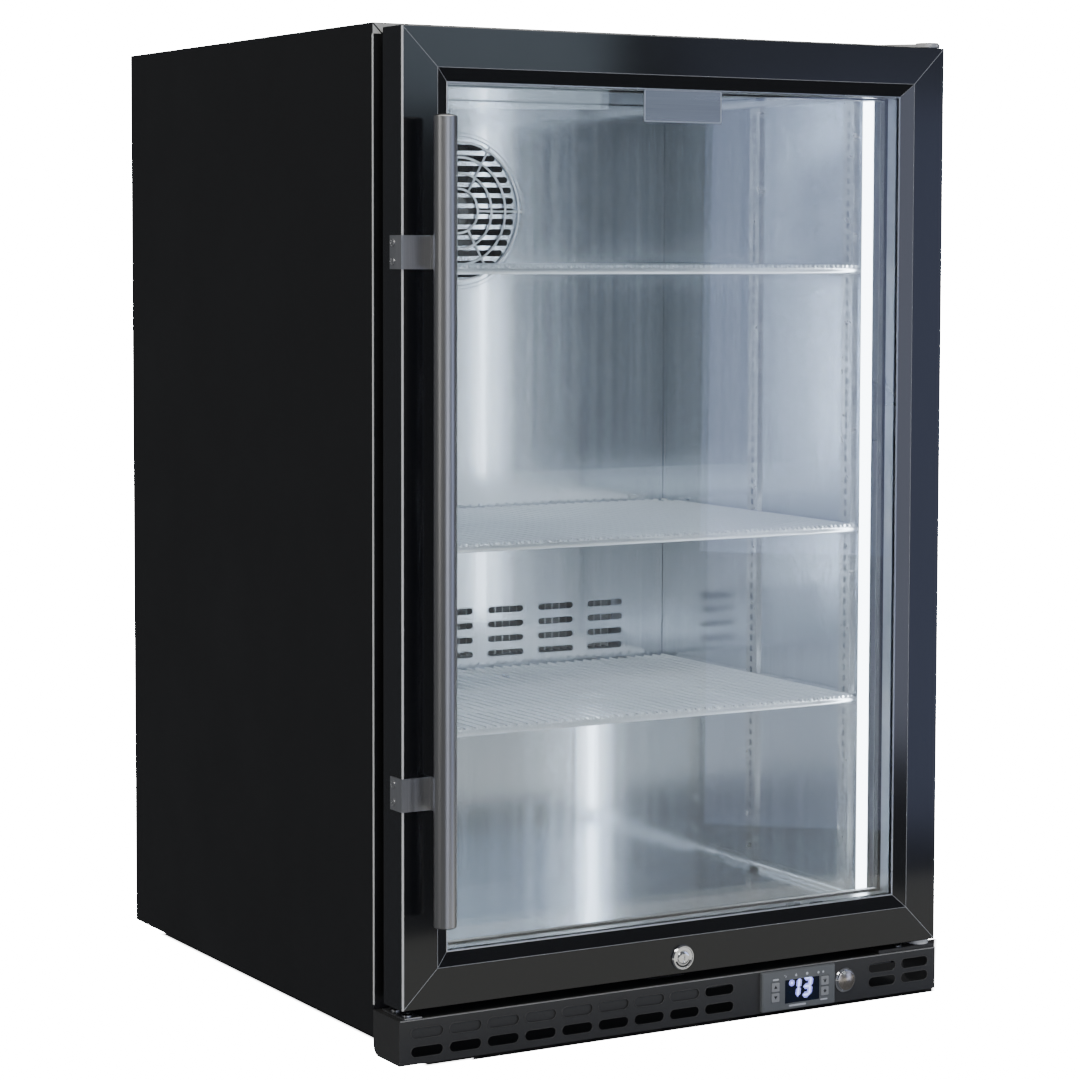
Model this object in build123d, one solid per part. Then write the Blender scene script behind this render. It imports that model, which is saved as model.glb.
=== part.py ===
from build123d import *
import math
import os

# Undercounter refrigerator with one glass door hinged on the right.
# Millimetres. +Z up, the door faces -Y, +X is to the right of someone facing the door.
# Inside this file y is measured back from the cabinet's front plane. Every shape is moved
# at the end so that the origin is at the middle of the footprint, on the floor.

# Cabinet
cabinet_width = 540.0
overall_height = 845.0
cabinet_depth = 503.0
cabinet_bottom = 20.0
shell_sheet = 1.0
shell_flange = 14.0
shell_edge_radius = 0.9
side_wall = 35.0
top_wall = 40.0
rear_wall = 50.0
step_wall = 35.0
liner_sheet = 0.8
liner_floor = 77.0
panel_sheet = 1.0
breaker_depth = 9.0
grille_recess = 24.0

# Base, plinth and feet
base_sheet = 1.2
base_flange = 18.0
foot_gap = 5.0
foot_inset = 70.0
foot_pad_radius = 17.0
foot_pad_height = 8.0
foot_stud_radius = 4.05
foot_boss_radius = 9.0
foot_boss_height = 8.0
plinth_height = 37.0
plinth_reach = 46.1
plinth_sheet = 1.2
plinth_corner = 9.0
slot_length = 29.8
slot_width = 9.0
slot_pitch = 35.4
slot_rows = (10.3, 25.6)
slot_side_margin = 25.6
vent_pair_inset = (23.6, 59.0)
vent_pair_rows = (13.3, 26.0)
baffle_height = 14.0
blank_plate_inset = 14.0
blank_plate_width = 16.0

# Controller and light switch
controller_inset = 150.8
bezel_width = 77.0
bezel_height = 34.8
bezel_thickness = 4.0
case_width = 71.0
case_height = 29.0
case_depth = 38.0
case_wall = 1.5
window_width = 36.4
window_height = 20.5
window_shift = 3.3
window_drop = 1.7
key_size = 7.8
key_height = 4.0
key_columns = (-25.0, 27.0)
key_rows = (3.9, -5.3)
key_clearance = 0.3
switch_inset = 100.0
switch_height = 19.1
switch_ring_radius = 10.8
switch_ring_height = 2.2
switch_barrel_radius = 8.0
switch_barrel_depth = 22.0
switch_cap_radius = 9.0
switch_cap_height = 3.6
switch_travel = 1.5
switch_gap = 0.3

# Door
door_side_gap = 2.5
door_top_gap = 5.0
door_plinth_gap = 8.0
door_gap = 14.2
door_depth = 33.1
profile_width = 32.0
profile_wall = 1.8
profile_step = 2.0
lip_width = 11.0
lip_drop = 5.4
lip_sheet = 1.5
profile_edge = 0.5
pane_gap = 1.0
outer_pane = 4.0
inner_pane = 4.0
spacer_thickness = 12.0
spacer_width = 9.5
bead_width = 12.0
gasket_inset = 16.5
gasket_width = 15.0
gasket_clearance = 0.4
badge_width = 77.0
badge_height = 27.5
badge_thickness = 1.0
badge_drop = 0.3

# Handle
handle_radius = 9.5
handle_wall = 1.5
handle_standoff = 29.0
handle_inset = 23.5
handle_top_drop = 71.7
handle_bottom_rise = 72.5
bracket_sheet = 1.5
bracket_height = 27.0
bracket_tab = 2.8
bracket_side = 20.0
bracket_upper_drop = 179.0
bracket_lower_rise = 176.0
bracket_screw_spread = 7.4
bracket_screw_back = 14.0

# Lock
lock_rise = 14.0
lock_flange_radius = 10.7
lock_barrel_radius = 8.2
lock_bore_radius = 6.05
lock_plug_radius = 6.0
lock_barrel_depth = 22.0
cam_length = 27.0
cam_width = 8.0
cam_sheet = 2.5
cam_hub_radius = 6.8
keeper_half_length = 19.0

# Hinges
hinge_inset = 12.0
hinge_setback = 35.0
hinge_sheet = 3.0
hinge_pin_radius = 4.0
hinge_bush_bore = 4.05
hinge_bush_radius = 7.0
hinge_bush_flange = 9.5
hinge_bush_length = 20.0
hinge_arm_length = 60.0
hinge_arm_round = 11.0
hinge_plate_front = 9.0
hinge_flange_height = 15.0
screw_head_radius = 4.2
screw_head_height = 1.9
screw_shank_radius = 2.1

# Shelves
shelf_front = 24.5
shelf_overhang = 142.0
shelf_side_gap = 4.0
shelf_rod_radius = 3.0
shelf_wire_radius = 1.3
shelf_wire_pitch = 10.0
shelf_shares = (0.0, 0.283, 0.708)
shelf_over_step = 12.0
standard_width = 16.0
standard_depth = 3.0
standard_front = 48.0
standard_before_step = 49.0
standard_slot = 5.4
standard_pitch = 10.0
clip_length = 10.0
clip_width = 12.0
clip_sheet = 2.5
clip_gap = 0.3

# Lighting
light_front = 3.0
light_width = 16.0
light_channel_depth = 8.0
light_channel_wall = 1.2
light_diffuser_height = 2.4
light_end_gap = 10.0

# Evaporator
cover_space = 92.0
cover_sheet = 1.2
evaporator_fan_drop = 105.0
fan_radius = 62.0
fan_hub_radius = 20.0
fan_hub_depth = 18.0
fan_blades = 5
fan_blade_sheet = 2.0
fan_blade_chord = 34.0
fan_blade_angle = 30.0
fan_bore = 3.05
fan_shaft = 3.0
fan_tip_gap = 8.0
fan_ring_wall = 3.0
fan_ring_depth = 26.0
fan_motor_radius = 22.0
fan_motor_length = 30.0
coil_thickness = 56.0
coil_height = 170.0
coil_side_gap = 45.0
fin_pitch = 8.0
fin_sheet = 1.2
coil_core = 12.0
coil_tube_radius = 4.0

# Compressor compartment
compressor_radius = 70.0
compressor_height = 128.0
compressor_foot = 14.0
compressor_front_gap = 28.0
compressor_back_gap = 29.0
compressor_plate = 3.0
grommet_radius = 11.0
grommet_height = 8.0
condenser_thickness = 34.0
condenser_length = 120.0
condenser_head_room = 41.0
condenser_inset = 66.0
condenser_fan_gap = 42.0
line_radius = 3.5
line_bend = 12.0
discharge_bend = 8.0
drier_radius = 9.0
drain_radius = 6.0
drain_bore = 4.0
pan_height = 26.0
pan_head_room = 26.0
pan_wall = 1.6
gland_radius = 11.0
gland_thread_radius = 8.0
gland_bore = 4.0
gland_reach = 18.0
gland_inside = 10.0

# Worked out from the sizes above
half_width = cabinet_width / 2
top = overall_height
profile_inner = profile_width + profile_step
bracket_width = handle_inset + bracket_tab
machine_depth = 2 * compressor_radius + compressor_front_gap + compressor_back_gap + grille_recess
pack_rise = grommet_height + compressor_plate + compressor_height
machine_height = pack_rise + pan_height + pan_head_room
condenser_height = machine_height - condenser_head_room
liner_half = half_width - side_wall
ceiling = top - top_wall
liner_back = cabinet_depth - rear_wall
machine_front = cabinet_depth - machine_depth
machine_top = cabinet_bottom + base_sheet + machine_height
step_front = machine_front - step_wall
step_top = machine_top + step_wall
plinth_top = foot_gap + plinth_height
foam_floor = plinth_top
shell_inner = half_width - shell_sheet
base_top = cabinet_bottom + base_sheet
machine_back = cabinet_depth - grille_recess

door_width = cabinet_width - 2 * door_side_gap
door_half = door_width / 2
door_bottom = plinth_top + door_plinth_gap
door_top = top - door_top_gap
door_height = door_top - door_bottom
door_middle = (door_top + door_bottom) / 2
door_front = -(door_gap + door_depth)
door_back = -door_gap
lip_back = lip_drop + lip_sheet
hinge_x = door_half - hinge_inset + door_side_gap
hinge_y = -hinge_setback
hinge_right = hinge_x + hinge_arm_round
hinge_left = hinge_right - hinge_arm_length
lock_z = door_bottom + lock_rise
handle_x = -door_half + handle_inset
handle_y = door_front - handle_standoff
handle_bottom = door_bottom + handle_bottom_rise
handle_top = door_top - handle_top_drop
upper_bracket = door_top - bracket_upper_drop
lower_bracket = door_bottom + bracket_lower_rise
plinth_front = -plinth_reach
controller_x = half_width - controller_inset
controller_z = foot_gap + plinth_height / 2
switch_x = half_width - switch_inset
switch_z = foot_gap + switch_height

cover_front = liner_back - cover_space
shelf_back = cover_front - 15.0
shelf_half = liner_half - shelf_side_gap
shelf_base = step_top + shelf_over_step
shelf_levels = [shelf_base + share * (ceiling - shelf_base) for share in shelf_shares]
standard_places = (standard_front, step_front - standard_before_step)
foot_spots = {
    "front_left": (-half_width + foot_inset, foot_inset),
    "front_right": (half_width - foot_inset, foot_inset),
    "rear_left": (-half_width + foot_inset, cabinet_depth - foot_inset),
    "rear_right": (half_width - foot_inset, cabinet_depth - foot_inset),
}
evaporator_fan = (0.0, cover_front + cover_sheet + fan_ring_depth / 2, ceiling - evaporator_fan_drop)
plate_half = compressor_radius + compressor_foot
compressor_x = -half_width + foot_inset + foot_boss_radius + 1.0 + plate_half
compressor_y = machine_front + compressor_front_gap + compressor_radius
condenser_x = half_width - condenser_inset
condenser_y = machine_front + 18.0 + condenser_length / 2
condenser_z = base_top + 8.0 + condenser_height / 2
condenser_fan = (condenser_x - condenser_fan_gap, condenser_y, condenser_z)
condenser_fan_radius = condenser_height / 2 - 13.0
reach_front = -(handle_y - handle_radius)
footprint_middle = (cabinet_depth - reach_front) / 2
foam_back = cabinet_depth - shell_sheet - panel_sheet
cam_front = door_front + lock_barrel_depth
hinge_screw_columns = (hinge_left + 9, hinge_right - 9)
hinge_screw_z = top - 11.0
lower_screws = ((hinge_x - 23, hinge_y - 1), (hinge_x - 33, -13.0))
blank_x = -half_width + blank_plate_inset
blank_screws = ((blank_x - 1, -35.0), (blank_x - 1, -15.0))
drain_pan_low = base_top + pack_rise
suction_x = compressor_x - compressor_radius - 25
suction_y = machine_back - 38
capillary_x = compressor_x + compressor_radius + 46
capillary_y = machine_back - 38
drain_x = compressor_x + 20
drain_y = machine_back - 42
gland_x = -half_width + 70
gland_z = cabinet_bottom + 22


def block(x0, x1, y0, y1, z0, z1):
    # a box between two corners
    middle = Pos((x0 + x1) / 2, (y0 + y1) / 2, (z0 + z1) / 2)
    return middle * Box(x1 - x0, y1 - y0, z1 - z0)


def rod_x(x0, x1, y, z, radius):
    return Pos((x0 + x1) / 2, y, z) * Rot(0, 90, 0) * Cylinder(radius, x1 - x0)


def rod_y(x, y0, y1, z, radius):
    return Pos(x, (y0 + y1) / 2, z) * Rot(90, 0, 0) * Cylinder(radius, y1 - y0)


def rod_z(x, y, z0, z1, radius):
    return Pos(x, y, (z0 + z1) / 2) * Cylinder(radius, z1 - z0)


def side_profile(points, half_length):
    # a closed outline in the Y-Z plane carried equally to both sides in X
    face = make_face(Polyline(*[(0, y, z) for y, z in points], close=True))
    return extrude(face, half_length, dir=(1, 0, 0), both=True)


def obround(x, z, length, width, y0, y1):
    # a slot cutter with round ends, lying along X
    run = (length - width) / 2
    middle = block(x - run, x + run, y0, y1, z - width / 2, z + width / 2)
    return middle + rod_y(x - run, y0, y1, z, width / 2) + rod_y(x + run, y0, y1, z, width / 2)


def save(name, shape):
    export_step(Pos(0, -footprint_middle, 0) * shape, f"parts/{name}.step")


def group(solids):
    return Compound(children=list(solids))


# ---- cabinet ----


def make_outer_shell():
    outer = block(-half_width, half_width, 0, cabinet_depth, cabinet_bottom, top)
    long_edges = outer.edges().filter_by(Axis.Z) + outer.edges().group_by(Axis.Z)[-1]
    outer = fillet(long_edges, shell_edge_radius)
    low = cabinet_bottom - 1
    hollow = block(-shell_inner, shell_inner, shell_sheet, cabinet_depth - shell_sheet, low, top - shell_sheet)
    opening = half_width - shell_flange
    front = block(-opening, opening, -1, 2 * shell_sheet, low, top - shell_flange)
    rear = front.moved(Pos(0, cabinet_depth - shell_sheet, 0))
    return outer - hollow - front - rear - group(top_hinge_shanks())


def liner_outline(grow):
    # side view of the storage space; the step leaves room for the machine compartment
    return [
        (0, liner_floor - grow),
        (step_front + grow, liner_floor - grow),
        (step_front + grow, step_top - grow),
        (liner_back + grow, step_top - grow),
        (liner_back + grow, ceiling + grow),
        (0, ceiling + grow),
    ]


def make_liner_body():
    return side_profile(liner_outline(liner_sheet), liner_half + liner_sheet)


def foam_passages():
    cuts = rod_z(suction_x, suction_y, machine_top - 5, step_top + 5, line_radius + 1)
    cuts += rod_z(capillary_x, capillary_y, machine_top - 5, step_top + 5, line_radius)
    cuts += rod_z(drain_x, drain_y, machine_top - 5, step_top + 5, drain_radius)
    return cuts


def make_inner_liner():
    hollow = side_profile(liner_outline(0), liner_half)
    mouth = block(-liner_half, liner_half, -1, 1, liner_floor, ceiling)
    return make_liner_body() - hollow - mouth - foam_passages()


def make_front_breaker():
    ring = block(-shell_inner, shell_inner, shell_sheet, breaker_depth, foam_floor, top - shell_sheet)
    face = half_width - shell_flange
    ring += block(-face, face, 0, shell_sheet, foam_floor, top - shell_flange)
    return ring - make_liner_body() - group(top_hinge_shanks())


def make_insulation_foam():
    foam = block(-shell_inner, shell_inner, breaker_depth, foam_back, foam_floor, top - shell_sheet)
    low_back = block(-half_width, half_width, machine_front - panel_sheet, cabinet_depth, 0, machine_top + panel_sheet)
    return foam - low_back - make_liner_body() - foam_passages()


def make_machine_panel():
    outline = [
        (panel_sheet, foam_floor),
        (machine_front - panel_sheet, foam_floor),
        (machine_front - panel_sheet, machine_top + panel_sheet),
        (foam_back, machine_top + panel_sheet),
        (foam_back, machine_top),
        (machine_front, machine_top),
        (machine_front, foam_floor - panel_sheet),
        (panel_sheet, foam_floor - panel_sheet),
    ]
    return side_profile(outline, shell_inner) - foam_passages()


def make_base_pan():
    low = cabinet_bottom
    wide = shell_inner
    back = machine_back
    pan = block(-wide, wide, shell_sheet, back, low, low + base_sheet)
    for side in (-1, 1):
        inner = side * (wide - base_sheet)
        pan += block(min(side * wide, inner), max(side * wide, inner), shell_sheet, back, low, low + base_flange)
    for x, y in foot_spots.values():
        pan += rod_z(x, y, low, low + foot_boss_height, foot_boss_radius)
    for x, y in foot_spots.values():
        pan -= rod_z(x, y, low - 1, low + foot_boss_height + 1, foot_stud_radius + 0.05)
    return pan


def make_foot(x, y):
    pad = rod_z(x, y, 0, foot_pad_height, foot_pad_radius)
    pad = chamfer(pad.edges().group_by(Axis.Z)[-1], 2.5)
    nut = Pos(x, y, foot_pad_height + 2) * extrude(RegularPolygon(8, 6), 2, both=True)
    stud = rod_z(x, y, foot_pad_height, cabinet_bottom + foot_boss_height + 6, foot_stud_radius)
    return pad + nut + stud


def make_rear_panel():
    wide = shell_inner
    low = machine_top + panel_sheet
    panel = block(-wide, wide, foam_back, foam_back + panel_sheet, low, top - shell_sheet)
    return panel - group(rear_panel_shanks())


def make_rear_grille():
    wide = shell_inner
    low = cabinet_bottom
    front = machine_back
    grille = block(-wide, wide, front, front + panel_sheet, low, machine_top)
    slots = []
    rows = int((machine_height - 60) / 14)
    columns = 5
    step = (cabinet_width - 120) / columns
    for column in range(columns):
        x = (column - (columns - 1) / 2) * step
        for row in range(rows):
            z = low + 46 + row * 14
            slots.append(obround(x, z, step - 16, 6, front - 1, front + 2))
    grille -= group(slots)
    grille -= rod_y(gland_x, front - 1, front + 2, gland_z, gland_thread_radius)
    return grille - group(rear_grille_shanks())


def make_cable_gland():
    face = machine_back + panel_sheet
    nut = Plane(origin=(gland_x, face, gland_z), x_dir=(1, 0, 0), z_dir=(0, 1, 0))
    body = extrude(nut * RegularPolygon(gland_radius, 6), 6)
    dome = rod_y(gland_x, face + 6, face + gland_reach, gland_z, gland_radius - 2)
    body += chamfer(dome.edges().group_by(Axis.Y)[-1], 3)
    body += rod_y(gland_x, machine_back - gland_inside, face, gland_z, gland_thread_radius)
    lock_nut = Plane(origin=(gland_x, machine_back - 4, gland_z), x_dir=(1, 0, 0), z_dir=(0, 1, 0))
    body += extrude(lock_nut * RegularPolygon(gland_radius + 1, 6), 4)
    return body - rod_y(gland_x, machine_back - gland_inside - 1, face + gland_reach + 1, gland_z, gland_bore)


# ---- plinth and controls ----


def plinth_slots():
    first = -half_width + slot_side_margin
    last = controller_x - bezel_width / 2 - slot_length / 2 - slot_side_margin
    count = int((last - first) / slot_pitch) + 1
    columns = [first + slot_pitch * index for index in range(count)]
    pair = [half_width - inset for inset in vent_pair_inset]
    return columns, pair


def make_plinth():
    front = plinth_front
    side = half_width
    body = block(-side, side, front, 0, foot_gap, plinth_top)
    body = fillet(body.edges().filter_by(Axis.Z).group_by(Axis.Y)[0], 1.0)
    lower_back = body.edges().filter_by(Axis.X).group_by(Axis.Z)[0].sort_by(Axis.Y)[-1]
    body = fillet(lower_back, plinth_corner)
    inner = side - plinth_sheet
    body -= block(-inner, inner, front + plinth_sheet, 1, 0, plinth_top - plinth_sheet)
    columns, pair = plinth_slots()
    cutters = []
    for places, rows in ((columns, slot_rows), (pair, vent_pair_rows)):
        for x in places:
            for rise in rows:
                cutters.append(obround(x, foot_gap + rise, slot_length, slot_width, front - 1, front + 3))
    body -= group(cutters)
    half_case = case_width / 2 + 0.2
    high = controller_z + case_height / 2 + 0.2
    low = controller_z - case_height / 2 - 0.2
    body -= block(controller_x - half_case, controller_x + half_case, front - 1, front + 3, low, high)
    body -= rod_y(switch_x, front - 1, front + 3, switch_z, switch_barrel_radius + 0.1)
    cam_y = cam_front - 2.5
    body -= block(-keeper_half_length, keeper_half_length, cam_y, cam_y + cam_sheet + 5, plinth_top - 5, plinth_top + 1)
    return body - group(blank_plate_shanks()) - group(bottom_hinge_shanks())


def make_plinth_baffle():
    # a strip close behind the upper row of slots, all but the last one
    columns, pair = plinth_slots()
    left = -half_width + 3
    right = columns[-1] - slot_pitch / 2
    face = plinth_front + plinth_sheet
    upper = foot_gap + slot_rows[1]
    strip = block(left, right, face, face + 1.0, upper - baffle_height / 2, upper + baffle_height / 2)
    return strip


def make_blank_plate():
    # closes the spare hinge place on the left
    half = blank_plate_width / 2
    plate = block(blank_x - half, blank_x + half, plinth_front + 2, -4, plinth_top, plinth_top + 1.2)
    return plate - group(blank_plate_shanks())


def blank_plate_shanks():
    high = plinth_top + 1.2
    return [rod_z(x, y, plinth_top - 4, high, screw_shank_radius) for x, y in blank_screws]


def make_controller_case():
    front = plinth_front - bezel_thickness
    half = bezel_width / 2
    tall = bezel_height / 2
    case = block(controller_x - half, controller_x + half, front, plinth_front, controller_z - tall, controller_z + tall)
    case = fillet(case.edges().filter_by(Axis.Y), 1.5)
    case = chamfer(case.faces().sort_by(Axis.Y)[0].edges(), 1.0)
    half = case_width / 2
    tall = case_height / 2
    back = plinth_front + case_depth
    case += block(controller_x - half, controller_x + half, plinth_front, back, controller_z - tall, controller_z + tall)
    half -= case_wall
    tall -= case_wall
    inside = plinth_front - bezel_thickness + 2.6
    hollow = block(controller_x - half, controller_x + half, inside, back - case_wall, controller_z - tall,
                   controller_z + tall)
    case -= hollow
    case -= window_block(front - 1, inside + 1, 0)
    for key_x, key_z in key_spots().values():
        size = key_size / 2 + key_clearance
        case -= block(key_x - size, key_x + size, front - 1, inside + 1, key_z - size, key_z + size)
    return case


def window_block(y0, y1, gap):
    half = window_width / 2 - gap
    tall = window_height / 2 - gap
    x = controller_x + window_shift
    z = controller_z - window_drop
    return block(x - half, x + half, y0, y1, z - tall, z + tall)


def key_spots():
    names = ("up", "down", "light", "defrost")
    places = [(column, row) for column in key_columns for row in key_rows]
    return {
        name: (controller_x + column, controller_z + row) for name, (column, row) in zip(names, places)
    }


def make_display_window():
    front = plinth_front - bezel_thickness
    pane = window_block(front + 0.4, front + 2.6, 0)
    board = block(controller_x - 21.5, controller_x + 22.5, front + 2.6, front + 4.2, controller_z - 12.8,
                  controller_z + 12.8)
    for key_x, key_z in key_spots().values():
        size = key_size / 2 + 1
        board -= block(key_x - size, key_x + size, front, front + 6, key_z - size, key_z + size)
    return pane + board


def make_key(key_x, key_z):
    front = plinth_front - bezel_thickness - 0.5
    size = key_size / 2
    key = block(key_x - size, key_x + size, front, front + key_height, key_z - size, key_z + size)
    return fillet(key.edges().filter_by(Axis.Y), 0.8)


def make_switch_body():
    face = plinth_front
    body = rod_y(switch_x, face - switch_ring_height, face, switch_z, switch_ring_radius)
    body = chamfer(body.edges().group_by(Axis.Y)[0], 0.8)
    body += rod_y(switch_x, face, face + switch_barrel_depth, switch_z, switch_barrel_radius)
    well = switch_cap_radius + 0.05
    body -= rod_y(switch_x, face - switch_ring_height - 1, face - 0.4, switch_z, well)
    return body - rod_y(switch_x, face - 2, face + switch_barrel_depth - 4, switch_z, 5.05)


def make_switch_cap():
    back = plinth_front - 0.4 - switch_travel - switch_gap
    cap = rod_y(switch_x, back - 1.6, back, switch_z, switch_cap_radius)
    cap = fillet(cap.edges().group_by(Axis.Y)[0], 0.7)
    return cap + rod_y(switch_x, back, plinth_front + 12, switch_z, 5.0)


# ---- door ----


def bar_profile():
    # section of the door frame: u runs in from the outer edge, v runs back from the face
    outline = [
        (0, profile_edge),
        (profile_edge, 0),
        (profile_width, 0),
        (profile_width + lip_width, lip_drop),
        (profile_width + lip_width, lip_back),
        (profile_inner, lip_back),
        (profile_inner, door_depth),
        (0, door_depth),
    ]
    inner = profile_inner - profile_wall
    cavity = [
        (profile_wall, profile_wall + 0.6),
        (profile_width - 1, profile_wall),
        (inner, profile_wall + 1.2),
        (inner, door_depth - profile_wall),
        (profile_wall, door_depth - profile_wall),
    ]
    return outline, cavity


def bar_section(length):
    # the bar along X, its outer edge at z = 0 and its face at y = 0
    outline, cavity = bar_profile()
    outer = make_face(Polyline(*[(0, v, u) for u, v in outline], close=True))
    inner = make_face(Polyline(*[(0, v, u) for u, v in cavity], close=True))
    bar = extrude(outer, length / 2, dir=(1, 0, 0), both=True)
    return bar - extrude(inner, length, dir=(1, 0, 0), both=True)


def mitred_bar(length):
    bar = bar_section(length + 2)
    reach = profile_width + lip_width + 1
    half = length / 2
    points = [(-half, -0.0), (half, -0.0), (half - reach, reach), (-half + reach, reach)]
    wedge = make_face(Polyline(*[(x, -1, z) for x, z in points], close=True))
    return bar & extrude(wedge, door_depth + 2, dir=(0, 1, 0))


def place_bar(bar, turn, x, z):
    return Pos(x, door_front, z) * Rot(0, turn, 0) * bar


def door_bars():
    wide = mitred_bar(door_width)
    tall = mitred_bar(door_height)
    return {
        "door_rail_bottom": place_bar(wide, 0, 0, door_bottom),
        "door_rail_top": place_bar(wide, 180, 0, door_top),
        "door_stile_left": place_bar(tall, 90, -door_half, door_middle),
        "door_stile_right": place_bar(tall, -90, door_half, door_middle),
    }


def door_cutters():
    front = door_front
    cuts = [rod_y(0, front - 1, front + 4, lock_z, lock_barrel_radius + 0.05)]
    slot_front = cam_front - 1.0
    slot = block(-keeper_half_length - 6, keeper_half_length + 6, slot_front, slot_front + cam_sheet + 2.0,
                 door_bottom - 1, door_bottom + profile_wall + 1)
    cuts.append(slot)
    for z0, z1 in ((door_top - hinge_bush_length, door_top + 1), (door_bottom - 1, door_bottom + hinge_bush_length)):
        cuts.append(rod_z(hinge_x, hinge_y, z0, z1, hinge_bush_radius))
    cuts += bracket_shanks(profile_wall + 2)
    return group(cuts)


def door_ring(inset, width, v0, v1):
    # a rectangular ring, its outside set in from the door's edge
    y0 = door_front + v0
    y1 = door_front + v1
    half = door_half - inset
    outer = block(-half, half, y0, y1, door_bottom + inset, door_top - inset)
    half -= width
    inner = inset + width
    return outer - block(-half, half, y0 - 1, y1 + 1, door_bottom + inner, door_top - inner)


def make_pane(v0, thickness):
    inset = profile_inner + pane_gap
    half = door_half - inset
    y = door_front + v0
    return block(-half, half, y, y + thickness, door_bottom + inset, door_top - inset)


def make_gasket():
    base = door_ring(gasket_inset, gasket_width, door_depth, door_depth + 3)
    bellows = door_ring(gasket_inset + 3.5, gasket_width - 7, door_depth + 3, door_depth + 9)
    back = door_depth + door_gap - gasket_clearance
    magnet = door_ring(gasket_inset + 1, gasket_width - 2, door_depth + 9, back)
    return base + bellows + magnet


def make_badge():
    high = door_top - profile_width - lip_width - badge_drop
    y = door_front + lip_back
    plate = block(-badge_width / 2, badge_width / 2, y - badge_thickness, y, high - badge_height, high)
    return fillet(plate.edges().filter_by(Axis.Y), 1.0)


def make_handle_tube():
    tube = rod_z(handle_x, handle_y, handle_bottom, handle_top, handle_radius)
    tube = chamfer(tube.edges(), 0.6)
    return tube - rod_z(handle_x, handle_y, handle_bottom + 2, handle_top - 2, handle_radius - handle_wall)


def make_bracket(middle):
    low = middle - bracket_height / 2
    high = middle + bracket_height / 2
    face = door_front
    side = -door_half
    right = side + bracket_width
    plate = block(side - bracket_sheet, side, face - bracket_sheet, face + bracket_side - bracket_sheet, low, high)
    plate += block(side - bracket_sheet, right, face - bracket_sheet, face, low, high)
    plate += block(right - bracket_sheet, right, handle_y, face, low, high)
    plate -= rod_z(handle_x, handle_y, handle_bottom, handle_top, handle_radius)
    beyond = block(-door_half, 0, handle_y - 50, handle_y, low - 1, high + 1)
    plate -= beyond
    return plate - group(bracket_shanks(0))


def bracket_spots():
    middles = (upper_bracket, lower_bracket)
    return [middle + side * bracket_screw_spread for middle in middles for side in (-1, 1)]


def bracket_shanks(reach):
    left = -door_half - bracket_sheet
    y = door_front + bracket_screw_back
    return [rod_x(left, -door_half + reach, y, z, screw_shank_radius) for z in bracket_spots()]


def make_door_screws():
    solids = []
    left = -door_half - bracket_sheet
    y = door_front + bracket_screw_back
    for z in bracket_spots():
        head = rod_x(left - 1.0, left, y, z, screw_head_radius - 0.6)
        solids.append(head + rod_x(left, -door_half + profile_wall + 2, y, z, screw_shank_radius))
    return group(solids)


# ---- lock ----


def make_lock_barrel():
    face = door_front
    barrel = rod_y(0, face - 2.0, face, lock_z, lock_flange_radius)
    barrel = chamfer(barrel.edges().group_by(Axis.Y)[0], 0.8)
    barrel += rod_y(0, face, face + lock_barrel_depth, lock_z, lock_barrel_radius)
    return barrel - rod_y(0, face - 3, face + lock_barrel_depth + 1, lock_z, lock_bore_radius)


def make_lock_plug():
    face = door_front - 2.4
    plug = rod_y(0, face, cam_front, lock_z, lock_plug_radius)
    plug = chamfer(plug.edges().group_by(Axis.Y)[0], 0.4)
    plug -= block(-0.8, 0.8, face - 1, face + 6, lock_z - 3.6, lock_z + 3.6)
    cam = rod_y(0, cam_front, cam_front + cam_sheet, lock_z, cam_hub_radius)
    half = cam_width / 2
    cam += block(0, cam_length, cam_front, cam_front + cam_sheet, lock_z - half, lock_z + half)
    return plug + cam


# ---- hinges ----


def hinge_arm(z0, z1):
    # a tapering plate with a round end about the pin
    near = hinge_x - 0.7 * hinge_arm_round
    points = [(hinge_left, 0), (hinge_right, 0), (hinge_right, hinge_y), (near, hinge_y - 0.7 * hinge_arm_round)]
    face = make_face(Polyline(*[(x, y, z0) for x, y in points], close=True))
    arm = extrude(face, z1 - z0, dir=(0, 0, 1))
    return arm + rod_z(hinge_x, hinge_y, z0, z1, hinge_arm_round)


def hinge_flange(z0, z1):
    return block(hinge_left, hinge_right, -hinge_sheet, 0, z0, z1)


def top_hinge_shanks():
    back = breaker_depth - 2
    return [rod_y(x, -hinge_sheet, back, hinge_screw_z, screw_shank_radius) for x in hinge_screw_columns]


def bottom_hinge_shanks():
    return [rod_z(x, y, plinth_top - 4, plinth_top + hinge_sheet, screw_shank_radius) for x, y in lower_screws]


def make_top_hinge():
    high = top - 1.2
    arm = hinge_arm(high - hinge_sheet, high) + hinge_flange(high - hinge_flange_height, high)
    pin = rod_z(hinge_x, hinge_y, door_top - 18, high, hinge_pin_radius)
    head = rod_z(hinge_x, hinge_y, high, top, 10)
    return arm + pin + chamfer(head.edges().group_by(Axis.Z)[-1], 0.4) - group(top_hinge_shanks())


def make_bottom_hinge():
    low = plinth_top
    arm = block(hinge_left, hinge_right, hinge_y - hinge_plate_front, 0, low, low + hinge_sheet)
    arm += hinge_flange(low, low + hinge_flange_height)
    pin = rod_z(hinge_x, hinge_y, low, door_bottom + 18, hinge_pin_radius)
    return arm + pin - group(bottom_hinge_shanks())


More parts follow.
